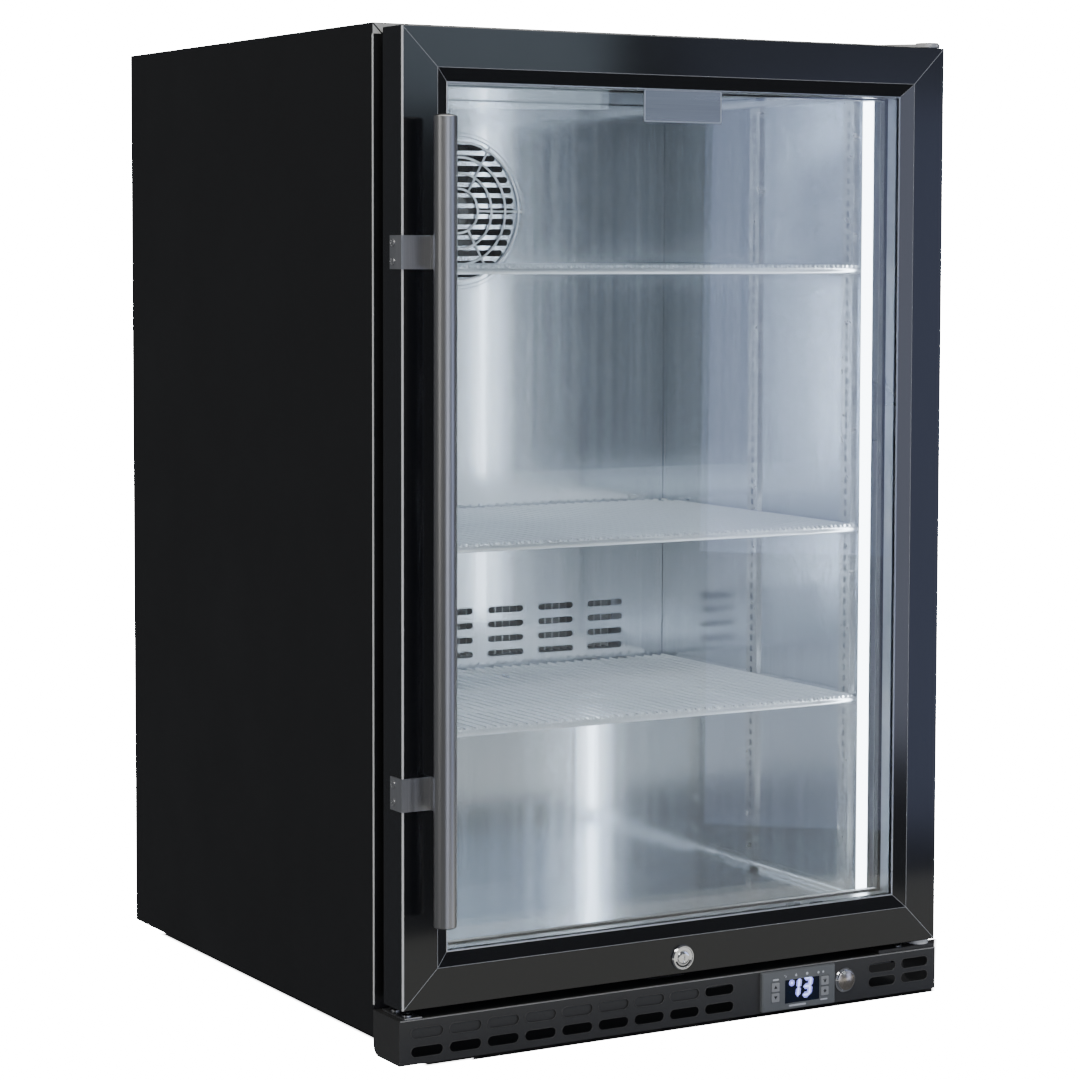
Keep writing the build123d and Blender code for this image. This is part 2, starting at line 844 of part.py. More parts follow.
def make_hinge_bushes():
    solids = []
    spots = (
        (door_top - hinge_bush_length, door_top, door_top, door_top + 0.5),
        (door_bottom, door_bottom + hinge_bush_length, door_bottom - 4.5, door_bottom),
    )
    for z0, z1, rim0, rim1 in spots:
        bush = rod_z(hinge_x, hinge_y, z0, z1, hinge_bush_radius)
        bush += rod_z(hinge_x, hinge_y, rim0, rim1, hinge_bush_flange)
        solids.append(bush - rod_z(hinge_x, hinge_y, rim0 - 30, rim1 + 30, hinge_bush_bore))
    return group(solids)


def rear_panel_spots():
    columns = (-half_width + 22, 0, half_width - 22)
    rows = (machine_top + 24, (machine_top + top) / 2, top - 22)
    return [(x, z) for x in columns for z in rows if x or z != rows[1]]


def rear_panel_shanks():
    return [rod_y(x, foam_back, foam_back + panel_sheet, z, screw_shank_radius) for x, z in rear_panel_spots()]


def rear_grille_spots():
    rows = (cabinet_bottom + 12, machine_top - 12)
    return [(x, z) for x in (-half_width + 14, half_width - 14) for z in rows]


def rear_grille_shanks():
    y = machine_back
    return [rod_y(x, y, y + panel_sheet, z, screw_shank_radius) for x, z in rear_grille_spots()]


def make_cabinet_screws():
    solids = []
    for x, z in rear_panel_spots():
        head = rod_y(x, foam_back + panel_sheet, foam_back + panel_sheet + 0.9, z, screw_head_radius)
        solids.append(head + rod_y(x, foam_back, foam_back + panel_sheet, z, screw_shank_radius))
    for x, z in rear_grille_spots():
        y = machine_back
        head = rod_y(x, y + panel_sheet, y + panel_sheet + screw_head_height, z, screw_head_radius)
        solids.append(head + rod_y(x, y, y + panel_sheet, z, screw_shank_radius))
    for x in hinge_screw_columns:
        z = hinge_screw_z
        head = rod_y(x, -hinge_sheet - screw_head_height, -hinge_sheet, z, screw_head_radius)
        solids.append(head + rod_y(x, -hinge_sheet, breaker_depth - 2, z, screw_shank_radius))
    for x, y in blank_screws:
        high = plinth_top + 1.2
        head = rod_z(x, y, high, high + screw_head_height, screw_head_radius)
        solids.append(head + rod_z(x, y, plinth_top - 4, high, screw_shank_radius))
    for x, y in lower_screws:
        high = plinth_top + hinge_sheet
        head = rod_z(x, y, high, high + screw_head_height, screw_head_radius)
        solids.append(head + rod_z(x, y, plinth_top - 4, high, screw_shank_radius))
    return group(solids)


# ---- inside the storage space ----


def make_standards():
    solids = []
    low = liner_floor + 8
    high = ceiling - 8
    count = int((high - low - 12) / standard_pitch)
    for side in (-1, 1):
        wall = side * liner_half
        face = side * (liner_half - standard_depth)
        for y in standard_places:
            half = standard_width / 2
            strip = block(min(wall, face), max(wall, face), y - half, y + half, low, high)
            holes = []
            for index in range(count):
                z = low + 8 + index * standard_pitch
                holes.append(block(min(wall, face) - 1, max(wall, face) + 1, y - 2, y + 2, z, z + standard_slot))
            solids.append(strip - group(holes))
    return group(solids)


def make_clips():
    solids = []
    for level in shelf_levels:
        high = level - shelf_rod_radius - clip_gap
        for side in (-1, 1):
            face = side * (liner_half - standard_depth)
            tip = side * (liner_half - standard_depth - clip_length)
            for y in standard_places:
                half = clip_width / 2
                clip = block(min(face, tip), max(face, tip), y - half, y + half, high - clip_sheet, high)
                solids.append(clip)
    return group(solids)


def make_shelf(level):
    rod = shelf_rod_radius
    half = shelf_half - rod
    front = shelf_front + rod
    back = shelf_back - rod
    frame = rod_x(-half, half, front, level, rod) + rod_x(-half, half, back, level, rod)
    for side in (-1, 1):
        frame += rod_y(side * half, front, back, level, rod)
        for y in (front, back):
            frame += Pos(side * half, y, level) * Sphere(rod)
    for share in (1 / 3, 2 / 3):
        frame += rod_x(-half, half, front + share * (back - front), level, rod - 0.8)
    count = int(2 * (half - rod) / shelf_wire_pitch)
    wire_level = level + rod + shelf_wire_radius - 0.7
    wires = []
    for index in range(count + 1):
        x = (index - count / 2) * shelf_wire_pitch
        wires.append(rod_y(x, shelf_front + 0.4, shelf_back - 0.4, wire_level, shelf_wire_radius))
    return frame.fuse(*wires)


def make_light_channels():
    solids = []
    for side in (-1, 1):
        wall = side * liner_half
        face = side * (liner_half - light_channel_depth)
        low = liner_floor + light_end_gap
        high = ceiling - light_end_gap
        back = light_front + light_width
        channel = block(min(wall, face), max(wall, face), light_front, back, low, high)
        edge = light_channel_wall
        inner = side * (liner_half - edge)
        mouth = side * (liner_half - light_channel_depth - 1)
        channel -= block(min(inner, mouth), max(inner, mouth), light_front + edge, back - edge, low - 1, high + 1)
        solids.append(channel)
    return group(solids)


def make_light_diffusers():
    solids = []
    for side in (-1, 1):
        base = side * (liner_half - light_channel_depth + 2.0)
        tip = side * (liner_half - light_channel_depth - light_diffuser_height)
        low = liner_floor + light_end_gap
        high = ceiling - light_end_gap
        edge = light_channel_wall
        front = light_front + edge
        back = light_front + light_width - edge
        lens = block(min(base, tip), max(base, tip), front, back, low, high)
        tip_edges = lens.edges().filter_by(Axis.Z).sort_by(Axis.X)
        lens = fillet(tip_edges[-2:] if side < 0 else tip_edges[:2], 2.4)
        solids.append(lens)
    return group(solids)


def make_evaporator_cover():
    half = liner_half - 0.4
    low = step_top + 1
    high = ceiling - 1
    front = cover_front
    cover = block(-half, half, front, front + cover_sheet, low, high)
    for side in (-1, 1):
        inner = side * (half - cover_sheet)
        cover += block(min(side * half, inner), max(side * half, inner), front, front + 18, low, high)
    x, y, z = evaporator_fan
    cuts = []
    for index in range(-6, 7):
        rise = index * 10.0
        reach = math.sqrt((fan_radius + fan_tip_gap) ** 2 - rise**2)
        cuts.append(obround(x, z + rise, 2 * reach - 12, 6, front - 1, front + 3))
    for column in range(-3, 4):
        for row in range(4):
            cuts.append(obround(column * 56.0, low + 26 + row * 14, 40, 6, front - 1, front + 3))
    return cover - group(cuts)


def comb_block(width, depth, height, pitch):
    # a finned pack: a core plate with plates standing out of both faces
    pack = Box(width, coil_core, height)
    count = int(width / pitch)
    fins = []
    for index in range(count + 1):
        x = (index - count / 2) * pitch
        fins.append(Pos(x, 0, 0) * Box(fin_sheet, depth, height))
    return pack.fuse(*fins)


def make_evaporator_coil():
    width = 2 * (liner_half - coil_side_gap) - 2 * fin_pitch
    y = cover_front + 14 + coil_thickness / 2
    z = step_top + 24 + coil_height / 2
    coil = Pos(0, y, z) * comb_block(width, coil_thickness, coil_height, fin_pitch)
    half = width / 2
    rows = 5
    for row in range(rows):
        level = z - coil_height / 2 + (row + 0.5) * coil_height / rows
        coil += rod_x(-half - 14, half + 14, y, level, coil_tube_radius)
    for side in (-1, 1):
        bend = side * (half + 14)
        edge = coil_height * 0.4
        coil += rod_z(bend, y, z - edge, z + edge, coil_tube_radius)
        hanger = side * (half + 6)
        coil += block(hanger - 1, hanger + 1, y - 8, liner_back, z - edge, z + edge)
    return coil


def fan_rotor(radius):
    # a hub and blades about the Z axis
    rotor = Cylinder(fan_hub_radius, fan_hub_depth)
    rotor = fillet(rotor.edges().group_by(Axis.Z)[-1], 4)
    reach = radius + 4
    blades = []
    for index in range(fan_blades):
        blade = Pos(reach / 2 + 6, 0, 0) * Rot(fan_blade_angle, 0, 0) * Box(reach - 12, fan_blade_chord, fan_blade_sheet)
        blades.append(Rot(0, 0, index * 360 / fan_blades) * blade)
    rotor = rotor.fuse(*blades)
    rotor &= Cylinder(radius, 60)
    return rotor - Pos(0, 0, -3) * Cylinder(fan_bore, fan_hub_depth)


def fan_frame(radius):
    # a ring round the blades, four arms and the motor on the arms, about the Z axis
    inside = radius + fan_tip_gap
    outer = Cylinder(inside + fan_ring_wall, fan_ring_depth)
    ring = outer - Cylinder(inside, fan_ring_depth + 2)
    back = -fan_ring_depth / 2
    motor = Pos(0, 0, back - 4 - fan_motor_length / 2) * Cylinder(fan_motor_radius, fan_motor_length)
    motor = fillet(motor.edges().group_by(Axis.Z)[0], 4)
    shaft = Pos(0, 0, back + 2) * Cylinder(fan_shaft, 14)
    reach = inside + 1
    frame = ring + motor + shaft
    for index in range(4):
        arm = Pos(reach / 2, 0, back - 3) * Box(reach, 8, 6)
        frame += Rot(0, 0, index * 90 + 45) * arm
    return frame


def at_evaporator_fan(shape):
    x, y, z = evaporator_fan
    return Pos(x, y, z) * Rot(90, 0, 0) * shape


def at_condenser_fan(shape):
    x, y, z = condenser_fan
    return Pos(x, y, z) * Rot(0, 90, 0) * shape


def make_condenser_fan_frame():
    frame = at_condenser_fan(fan_frame(condenser_fan_radius))
    x, y, z = condenser_fan
    low_edge = z - condenser_fan_radius - fan_tip_gap - fan_ring_wall
    half = fan_ring_depth / 2
    frame += block(x - half, x + half, y - 30, y + 30, base_top, low_edge + 8) - rod_x(
        x - half - 1, x + half + 1, y, z, condenser_fan_radius + fan_tip_gap + fan_ring_wall
    )
    return frame


# ---- machine compartment ----


def make_compressor():
    low = base_top
    x = compressor_x
    y = compressor_y
    foot = low + grommet_height
    shell_low = foot + compressor_plate
    body = rod_z(x, y, shell_low, shell_low + compressor_height, compressor_radius)
    body = fillet(body.edges().group_by(Axis.Z)[-1], 34)
    body = fillet(body.edges().group_by(Axis.Z)[0], 16)
    plate = block(x - plate_half, x + plate_half, y - 62, y + 62, foot, shell_low + 0.5)
    body += fillet(plate.edges().filter_by(Axis.Z), 14)
    body += block(x + 40, x + compressor_radius + 18, y - 26, y + 26, foot + 34, foot + 88)
    for side in (-1, 1):
        for end in (-1, 1):
            body += rod_z(x + side * compressor_radius, y + end * 48, low, foot, grommet_radius)
    return body


def make_drain():
    # the evaporation pan over the compressor, and the tube that fills it
    low = drain_pan_low
    x = compressor_x
    y = compressor_y
    pan = block(x - 60, x + 60, y - 60, y + 72, low, low + pan_height)
    pan = fillet(pan.edges().filter_by(Axis.Z), 10)
    wall = pan_wall
    pan -= block(x - 60 + wall, x + 60 - wall, y - 60 + wall, y + 72 - wall, low + wall, low + pan_height + 1)
    tube = rod_z(drain_x, drain_y, low + 8, step_top, drain_radius)
    tube -= rod_z(drain_x, drain_y, low + 7, step_top + 1, drain_bore)
    return group([pan, tube])


def make_condenser():
    x = condenser_x
    coil = comb_block(condenser_length, condenser_thickness, condenser_height, fin_pitch)
    coil = Pos(x, condenser_y, condenser_z) * Rot(0, 0, 90) * coil
    half = condenser_length / 2
    for index in range(5):
        level = condenser_z + (index - 2) * condenser_height / 5
        coil += rod_y(x, condenser_y - half - 7, condenser_y + half + 7, level, coil_tube_radius)
    low = condenser_z - condenser_height / 2
    for end in (-1, 1):
        y = condenser_y + end * (half - 4)
        coil += block(x - condenser_thickness / 2, x + condenser_thickness / 2, y - 1.5, y + 1.5, base_top, low + 4)
    return coil


def tube_along(points, radius, bend):
    path = FilletPolyline(*points, radius=bend)
    start = Plane(origin=path @ 0, z_dir=path % 0)
    return sweep(start * Circle(radius), path)


def make_lines():
    radius = line_radius
    high = machine_top - 12
    exit_x = compressor_x + compressor_radius - 6
    exit_y = condenser_y - 2 * discharge_bend - 4
    exit_z = base_top + pack_rise - 35
    turn_x = exit_x + 56
    over_y = condenser_y
    discharge = tube_along(
        [
            (exit_x - 22, exit_y, exit_z),
            (turn_x, exit_y, exit_z),
            (turn_x, exit_y, high),
            (turn_x, over_y, high),
            (condenser_x, over_y, high),
            (condenser_x, over_y, condenser_z + condenser_height / 2),
        ],
        radius,
        discharge_bend,
    )
    discharge -= rod_z(compressor_x, compressor_y, 0, machine_top, compressor_radius)
    low = base_top + 70
    side = compressor_x - compressor_radius
    suction = tube_along(
        [
            (suction_x, suction_y, step_top + 16),
            (suction_x, suction_y, low),
            (suction_x, compressor_y, low),
            (side + 12, compressor_y, low),
        ],
        radius,
        line_bend,
    )
    suction -= rod_z(compressor_x, compressor_y, 0, machine_top, compressor_radius)
    y = capillary_y
    z = condenser_z - condenser_height * 0.4
    outlet = condenser_y + condenser_length / 2 + 7
    run = [(condenser_x, outlet, z), (condenser_x, y, z), (capillary_x + 90, y, z)]
    liquid = tube_along(run, radius, discharge_bend)
    drier = rod_x(capillary_x + 30, capillary_x + 96, y, z, drier_radius)
    drier = fillet(drier.edges(), 5)
    liquid += drier
    riser = [(capillary_x + 34, y, z), (capillary_x, y, z), (capillary_x, y, step_top + 16)]
    liquid += tube_along(riser, radius - 1, 10)
    return group([discharge, suction, liquid])


def main():
    os.makedirs("parts", exist_ok=True)
    save("outer_shell", make_outer_shell())
    save("inner_liner", make_inner_liner())
    save("front_breaker", make_front_breaker())
    save("insulation_foam", make_insulation_foam())
    save("machine_panel", make_machine_panel())
    save("base_pan", make_base_pan())
    save("rear_panel", make_rear_panel())
    save("rear_grille", make_rear_grille())
    save("cable_gland", make_cable_gland())
    for name, (x, y) in foot_spots.items():
        save(f"foot_{name}", make_foot(x, y))

    save("plinth_grille", make_plinth())
    save("plinth_baffle", make_plinth_baffle())
    save("hinge_blank_plate", make_blank_plate())
    save("controller_case", make_controller_case())
    save("display_window", make_display_window())
    for name, (key_x, key_z) in key_spots().items():
        save(f"key_{name}", make_key(key_x, key_z))
    save("light_switch_body", make_switch_body())
    save("light_switch_cap", make_switch_cap())

    cutters = door_cutters()
    for name, bar in door_bars().items():
        save(name, bar - cutters)
    save("glass_outer", make_pane(lip_back, outer_pane))
    spacer_front = lip_back + outer_pane
    spacer = door_ring(profile_inner + pane_gap, spacer_width, spacer_front, spacer_front + spacer_thickness)
    save("glass_spacer", spacer)
    inner_front = spacer_front + spacer_thickness
    save("glass_inner", make_pane(inner_front, inner_pane))
    save("glazing_bead", door_ring(profile_inner, bead_width, inner_front + inner_pane, door_depth))
    save("door_gasket", make_gasket())
    save("badge_plate", make_badge())
    save("handle_tube", make_handle_tube())
    save("handle_brackets", group([make_bracket(upper_bracket), make_bracket(lower_bracket)]))
    save("door_screws", make_door_screws())
    save("lock_barrel", make_lock_barrel())
    save("lock_plug", make_lock_plug())
    save("top_hinge", make_top_hinge())
    save("bottom_hinge", make_bottom_hinge())
    save("hinge_bushes", make_hinge_bushes())
    save("cabinet_screws", make_cabinet_screws())

    save("shelf_standards", make_standards())
    save("shelf_clips", make_clips())
    for name, level in zip(("lower", "middle", "upper"), shelf_levels):
        save(f"shelf_{name}", make_shelf(level))
    save("light_channels", make_light_channels())
    save("light_diffusers", make_light_diffusers())
    save("evaporator_cover", make_evaporator_cover())
    save("evaporator_coil", make_evaporator_coil())
    save("evaporator_fan_rotor", at_evaporator_fan(fan_rotor(fan_radius)))
    save("evaporator_fan_frame", at_evaporator_fan(fan_frame(fan_radius)))
    save("compressor", make_compressor())
    save("condensate_drain", make_drain())
    save("condenser_coil", make_condenser())
    save("condenser_fan_rotor", at_condenser_fan(fan_rotor(condenser_fan_radius)))
    save("condenser_fan_frame", make_condenser_fan_frame())
    save("refrigerant_lines", make_lines())


main()
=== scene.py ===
import bmesh
import bpy
import math
import numpy as np
from mathutils import Matrix, Vector


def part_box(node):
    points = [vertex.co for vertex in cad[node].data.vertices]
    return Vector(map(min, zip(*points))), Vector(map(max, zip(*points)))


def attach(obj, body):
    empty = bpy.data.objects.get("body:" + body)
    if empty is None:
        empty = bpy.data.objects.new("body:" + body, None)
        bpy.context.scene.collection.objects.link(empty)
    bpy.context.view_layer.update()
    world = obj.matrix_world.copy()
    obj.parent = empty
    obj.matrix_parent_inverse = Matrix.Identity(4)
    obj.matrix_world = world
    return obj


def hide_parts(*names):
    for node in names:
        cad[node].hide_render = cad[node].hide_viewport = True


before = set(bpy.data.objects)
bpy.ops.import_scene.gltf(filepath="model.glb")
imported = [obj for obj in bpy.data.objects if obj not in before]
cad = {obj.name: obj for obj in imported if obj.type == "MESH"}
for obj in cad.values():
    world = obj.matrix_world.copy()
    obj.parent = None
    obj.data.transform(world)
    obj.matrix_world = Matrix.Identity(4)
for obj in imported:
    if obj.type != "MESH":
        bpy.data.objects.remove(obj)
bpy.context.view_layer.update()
stageWords = "bar fridge:"


def addPiece(name, verts, faces, body, look, slotName, smooth=True):
    # a closed mesh from whole arrays, its faces turned outwards
    verts = np.asarray(verts, float).reshape(-1, 3)
    mesh = bpy.data.meshes.new(name)
    mesh.from_pydata(verts.tolist(), [], [list(map(int, f)) for f in faces])
    bm = bmesh.new()
    bm.from_mesh(mesh)
    bmesh.ops.remove_doubles(bm, verts=bm.verts, dist=2e-6)
    bmesh.ops.recalc_face_normals(bm, faces=bm.faces)
    bm.to_mesh(mesh)
    bm.free()
    mesh.polygons.foreach_set("use_smooth", np.full(len(mesh.polygons), smooth))
    mesh.materials.append(finish[look])
    piece = bpy.data.objects.new(name, mesh)
    bpy.context.scene.collection.objects.link(piece)
    if smooth:
        mesh.set_sharp_from_angle(angle=math.radians(38))
    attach(piece, body)
    return piece


def gridFaces(rows, cols, wrapRows=False, wrapCols=False, start=0):
    # quads between neighbouring rows and columns of a point grid
    r = np.arange(rows if wrapRows else rows - 1)
    c = np.arange(cols if wrapCols else cols - 1)
    rr, cc = np.meshgrid(r, c, indexing="ij")
    r2, c2 = (rr + 1) % rows, (cc + 1) % cols
    quads = np.stack([rr * cols + cc, rr * cols + c2, r2 * cols + c2, r2 * cols + cc], -1)
    return quads.reshape(-1, 4) + start


def joinGrids(grids):
    # several (points, faces) pairs as one point list and one face list
    points, faces, count = [], [], 0
    for p, f in grids:
        p = np.asarray(p, float).reshape(-1, 3)
        points.append(p)
        faces += [[i + count for i in face] for face in f]
        count += len(p)
    return np.concatenate(points), faces


def turned(profile, centre, axis, steps=48):
    # P(t, a) = centre + h(t) * axis + r(t) * (cos a * e1 + sin a * e2)
    profile = np.asarray(profile, float)
    axis = np.asarray(axis, float) / np.linalg.norm(axis)
    helper = np.array([0, 0, 1.0]) if abs(axis[2]) < 0.9 else np.array([1.0, 0, 0])
    e1 = np.cross(helper, axis)
    e1 /= np.linalg.norm(e1)
    e2 = np.cross(axis, e1)
    a = np.linspace(0, 2 * np.pi, steps, endpoint=False)
    ring = np.cos(a)[:, None] * e1 + np.sin(a)[:, None] * e2
    points = profile[:, None, 0, None] * ring[None] + profile[:, None, 1, None] * axis + np.asarray(centre)
    return points, gridFaces(len(profile), steps, wrapCols=True).tolist()


def roundedLoop(halfWide, halfTall, radius, steps=6):
    # a rectangle with round corners in X-Z, as points and outward normals, anticlockwise
    a = np.linspace(0, np.pi / 2, steps)
    corners = [(1, -1, -np.pi / 2), (1, 1, 0), (-1, 1, np.pi / 2), (-1, -1, np.pi)]
    points, normals = [], []
    for sx, sz, turn in corners:
        n = np.stack([np.cos(a + turn), np.sin(a + turn)], -1)
        points.append(n * radius + [sx * (halfWide - radius), sz * (halfTall - radius)])
        normals.append(n)
    return np.concatenate(points), np.concatenate(normals)


def loopSweep(loop, normals, profile, centre, wrapProfile=True):
    # P(s, t) = loop(s) + u(t) * normal(s) in X-Z, and v(t) along Y
    profile = np.asarray(profile, float)
    flat = loop[:, None] + normals[:, None] * profile[None, :, 0, None]
    points = np.zeros(flat.shape[:2] + (3,))
    points[..., 0] = flat[..., 0] + centre[0]
    points[..., 2] = flat[..., 1] + centre[2]
    points[..., 1] = profile[None, :, 1] + centre[1]
    return points, gridFaces(len(loop), len(profile), wrapRows=True, wrapCols=wrapProfile).tolist()


def slab(outline, y0, y1, centre=(0, 0, 0)):
    # a flat outline in X-Z given a thickness from y0 to y1
    outline = np.asarray(outline, float)
    n = len(outline)
    flat = np.stack([outline[:, 0], np.zeros(n), outline[:, 1]], -1)
    points = np.concatenate([flat + [0, y0, 0], flat + [0, y1, 0]]) + np.asarray(centre)
    faces = [list(range(n)), list(range(2 * n - 1, n - 1, -1))]
    faces += [[i, n + i, n + (i + 1) % n, (i + 1) % n] for i in range(n)]
    return points, faces


def sweep(path, sideways, outwards, profile, closedPath=False):
    # P(s, t) = path(s) + u(t) * sideways(s) + v(t) * outwards(s), with flat ends on an open path
    path = np.asarray(path, float)
    profile = np.asarray(profile, float)
    side = np.broadcast_to(np.asarray(sideways, float), path.shape)
    out = np.broadcast_to(np.asarray(outwards, float), path.shape)
    points = path[:, None] + profile[None, :, 0, None] * side[:, None] + profile[None, :, 1, None] * out[:, None]
    rows, cols = points.shape[:2]
    faces = gridFaces(rows, cols, wrapRows=closedPath, wrapCols=True).tolist()
    if not closedPath:
        faces += [list(range(cols)), list(range((rows - 1) * cols, rows * cols))]
    return points.reshape(-1, 3), faces


def ovalProfile(wide, tall, steps=8):
    # an ellipse (wide cos a, tall sin a)
    a = np.linspace(0, 2 * np.pi, steps, endpoint=False)
    return np.stack([np.cos(a) * wide, np.sin(a) * tall], -1)


def arcOf(radius, start, end, steps, centre=(0, 0)):
    # points of a circular arc between two angles in degrees
    a = np.radians(np.linspace(start, end, steps))
    return np.stack([np.cos(a) * radius + centre[0], np.sin(a) * radius + centre[1]], -1)


def repeatAt(points, faces, offsets):
    # the same small shape at many places, as one point list and one face list
    points = np.asarray(points, float).reshape(-1, 3)
    offsets = np.asarray(offsets, float).reshape(-1, 3)
    every = (points[None] + offsets[:, None]).reshape(-1, 3)
    return every, [[i + k * len(points) for i in face] for k in range(len(offsets)) for face in faces]


def rodAlong(start, end, wide, tall, steps=8):
    # an oval rod between two points, its second axis towards the front or, on a rod along Y, upwards
    start, end = np.asarray(start, float), np.asarray(end, float)
    along = (end - start) / np.linalg.norm(end - start)
    out = np.array([0, -1.0, 0]) if abs(along[1]) < 0.9 else np.array([0, 0, 1.0])
    return sweep([start, end], np.cross(along, out), out, ovalProfile(wide, tall, steps))


def boxOf(node):
    low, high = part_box(node)
    return np.array(low, float), np.array(high, float)


def middleOf(node):
    low, high = boxOf(node)
    return (low + high) / 2


def frontOf(node):
    # the middle of a node's front
    low, high = boxOf(node)
    return np.array([(low[0] + high[0]) / 2, low[1], (low[2] + high[2]) / 2])


def newGroup(name, inputs, outputs):
    group = bpy.data.node_groups.new(name, "ShaderNodeTree")
    for label, kind, value in inputs:
        socket = group.interface.new_socket(label, in_out="INPUT", socket_type=kind)
        socket.default_value = value
    for label, kind in outputs:
        group.interface.new_socket(label, in_out="OUTPUT", socket_type=kind)
    start = group.nodes.new("NodeGroupInput")
    end = group.nodes.new("NodeGroupOutput")
    return group, start, end


def link(tree, source, output, target, socket):
    tree.links.new(source.outputs[output], target.inputs[socket])


def addNode(tree, kind, **values):
    node = tree.nodes.new(kind)
    for key, value in values.items():
        setattr(node, key, value)
    return node


def makeFineGrain():
    # powder coat: a soft noise for height, and a slower one for gloss changes
    group, start, end = newGroup(
        "fineGrain",
        [("Scale", "NodeSocketFloat", 700.0), ("Patch Scale", "NodeSocketFloat", 9.0)],
        [("Height", "NodeSocketFloat"), ("Patches", "NodeSocketFloat")],
    )
    place = addNode(group, "ShaderNodeTexCoord")
    fine = addNode(group, "ShaderNodeTexNoise")
    fine.inputs["Detail"].default_value = 3.0
    slow = addNode(group, "ShaderNodeTexNoise")
    slow.inputs["Detail"].default_value = 2.0
    for noise, label in ((fine, "Scale"), (slow, "Patch Scale")):
        link(group, place, "Object", noise, "Vector")
        link(group, start, label, noise, "Scale")
    link(group, fine, "Fac", end, "Height")
    link(group, slow, "Fac", end, "Patches")
    return group


def makeBrushedLines():
    # noise drawn out along one axis, as a brush leaves it
    group, start, end = newGroup(
        "brushedLines",
        [("Stretch", "NodeSocketVector", (900.0, 900.0, 6.0)), ("Contrast", "NodeSocketFloat", 1.0)],
        [("Lines", "NodeSocketFloat"), ("Soft", "NodeSocketFloat")],
    )
    place = addNode(group, "ShaderNodeTexCoord")
    scale = addNode(group, "ShaderNodeVectorMath", operation="MULTIPLY")
    link(group, place, "Object", scale, 0)
    link(group, start, "Stretch", scale, 1)
    noise = addNode(group, "ShaderNodeTexNoise")
    noise.inputs["Scale"].default_value = 1.0
    noise.inputs["Detail"].default_value = 4.0
    link(group, scale, "Vector", noise, "Vector")
    power = addNode(group, "ShaderNodeMath", operation="POWER")
    link(group, noise, "Fac", power, 0)
    link(group, start, "Contrast", power, 1)
    wide = addNode(group, "ShaderNodeTexNoise")
    wide.inputs["Scale"].default_value = 0.12
    link(group, scale, "Vector", wide, "Vector")
    link(group, power, "Value", end, "Lines")
    link(group, wide, "Fac", end, "Soft")
    return group


def makeSmudge():
    # wiped glass or gloss: cloudy patches and a few fine specks
    group, start, end = newGroup(
        "smudge",
        [("Cloud Scale", "NodeSocketFloat", 5.0), ("Speck Scale", "NodeSocketFloat", 260.0)],
        [("Clouds", "NodeSocketFloat"), ("Specks", "NodeSocketFloat")],
    )
    place = addNode(group, "ShaderNodeTexCoord")
    clouds = addNode(group, "ShaderNodeTexNoise")
    clouds.inputs["Detail"].default_value = 5.0
    clouds.inputs["Roughness"].default_value = 0.6
    specks = addNode(group, "ShaderNodeTexVoronoi")
    for noise, label in ((clouds, "Cloud Scale"), (specks, "Speck Scale")):
        link(group, place, "Object", noise, "Vector")
        link(group, start, label, noise, "Scale")
    dots = addNode(group, "ShaderNodeMapRange")
    dots.inputs["From Min"].default_value = 0.0
    dots.inputs["From Max"].default_value = 0.12
    dots.inputs["To Min"].default_value = 1.0
    dots.inputs["To Max"].default_value = 0.0
    link(group, specks, "Distance", dots, "Value")
    link(group, clouds, "Fac", end, "Clouds")
    link(group, dots, "Result", end, "Specks")
    return group


fineGrain = makeFineGrain()
brushedLines = makeBrushedLines()
smudge = makeSmudge()


def startMaterial(name, colour, rough, metallic=0.0, **plain):
    mat = bpy.data.materials.new(name)
    mat.use_nodes = True
    tree = mat.node_tree
    shader = tree.nodes["Principled BSDF"]
    shader.inputs["Base Color"].default_value = (*colour, 1)
    shader.inputs["Roughness"].default_value = rough
    shader.inputs["Metallic"].default_value = metallic
    for label, value in plain.items():
        shader.inputs[label].default_value = value
    return mat, tree, shader


def rangeTo(tree, source, low, high, target):
    # a 0 to 1 pattern spread between two values into a socket
    spread = addNode(tree, "ShaderNodeMapRange")
    spread.inputs["From Min"].default_value = 0.25
    spread.inputs["From Max"].default_value = 0.75
    spread.inputs["To Min"].default_value = low
    spread.inputs["To Max"].default_value = high
    tree.links.new(source, spread.inputs["Value"])
    tree.links.new(spread.outputs["Result"], target)


def tintBetween(tree, source, dark, light, target):
    mix = addNode(tree, "ShaderNodeMix", data_type="RGBA")
    mix.inputs["A"].default_value = (*dark, 1)
    mix.inputs["B"].default_value = (*light, 1)
    tree.links.new(source, mix.inputs["Factor"])
    tree.links.new(mix.outputs["Result"], target)


def bumpFrom(tree, source, strength, distance, shader):
    bump = addNode(tree, "ShaderNodeBump")
    bump.inputs["Strength"].default_value = strength
    bump.inputs["Distance"].default_value = distance
    tree.links.new(source, bump.inputs["Height"])
    link(tree, bump, "Normal", shader, "Normal")


def paint(name, dark, light, rough, grainScale, grainDepth, **plain):
    # powder coat or moulded plastic
    mat, tree, shader = startMaterial(name, dark, rough, **plain)
    grain = addNode(tree, "ShaderNodeGroup", node_tree=fineGrain)
    grain.inputs["Scale"].default_value = grainScale
    tintBetween(tree, grain.outputs["Patches"], dark, light, shader.inputs["Base Color"])
    rangeTo(tree, grain.outputs["Patches"], rough * 0.9, rough * 1.12, shader.inputs["Roughness"])
    bumpFrom(tree, grain.outputs["Height"], 0.5, grainDepth, shader)
    return mat


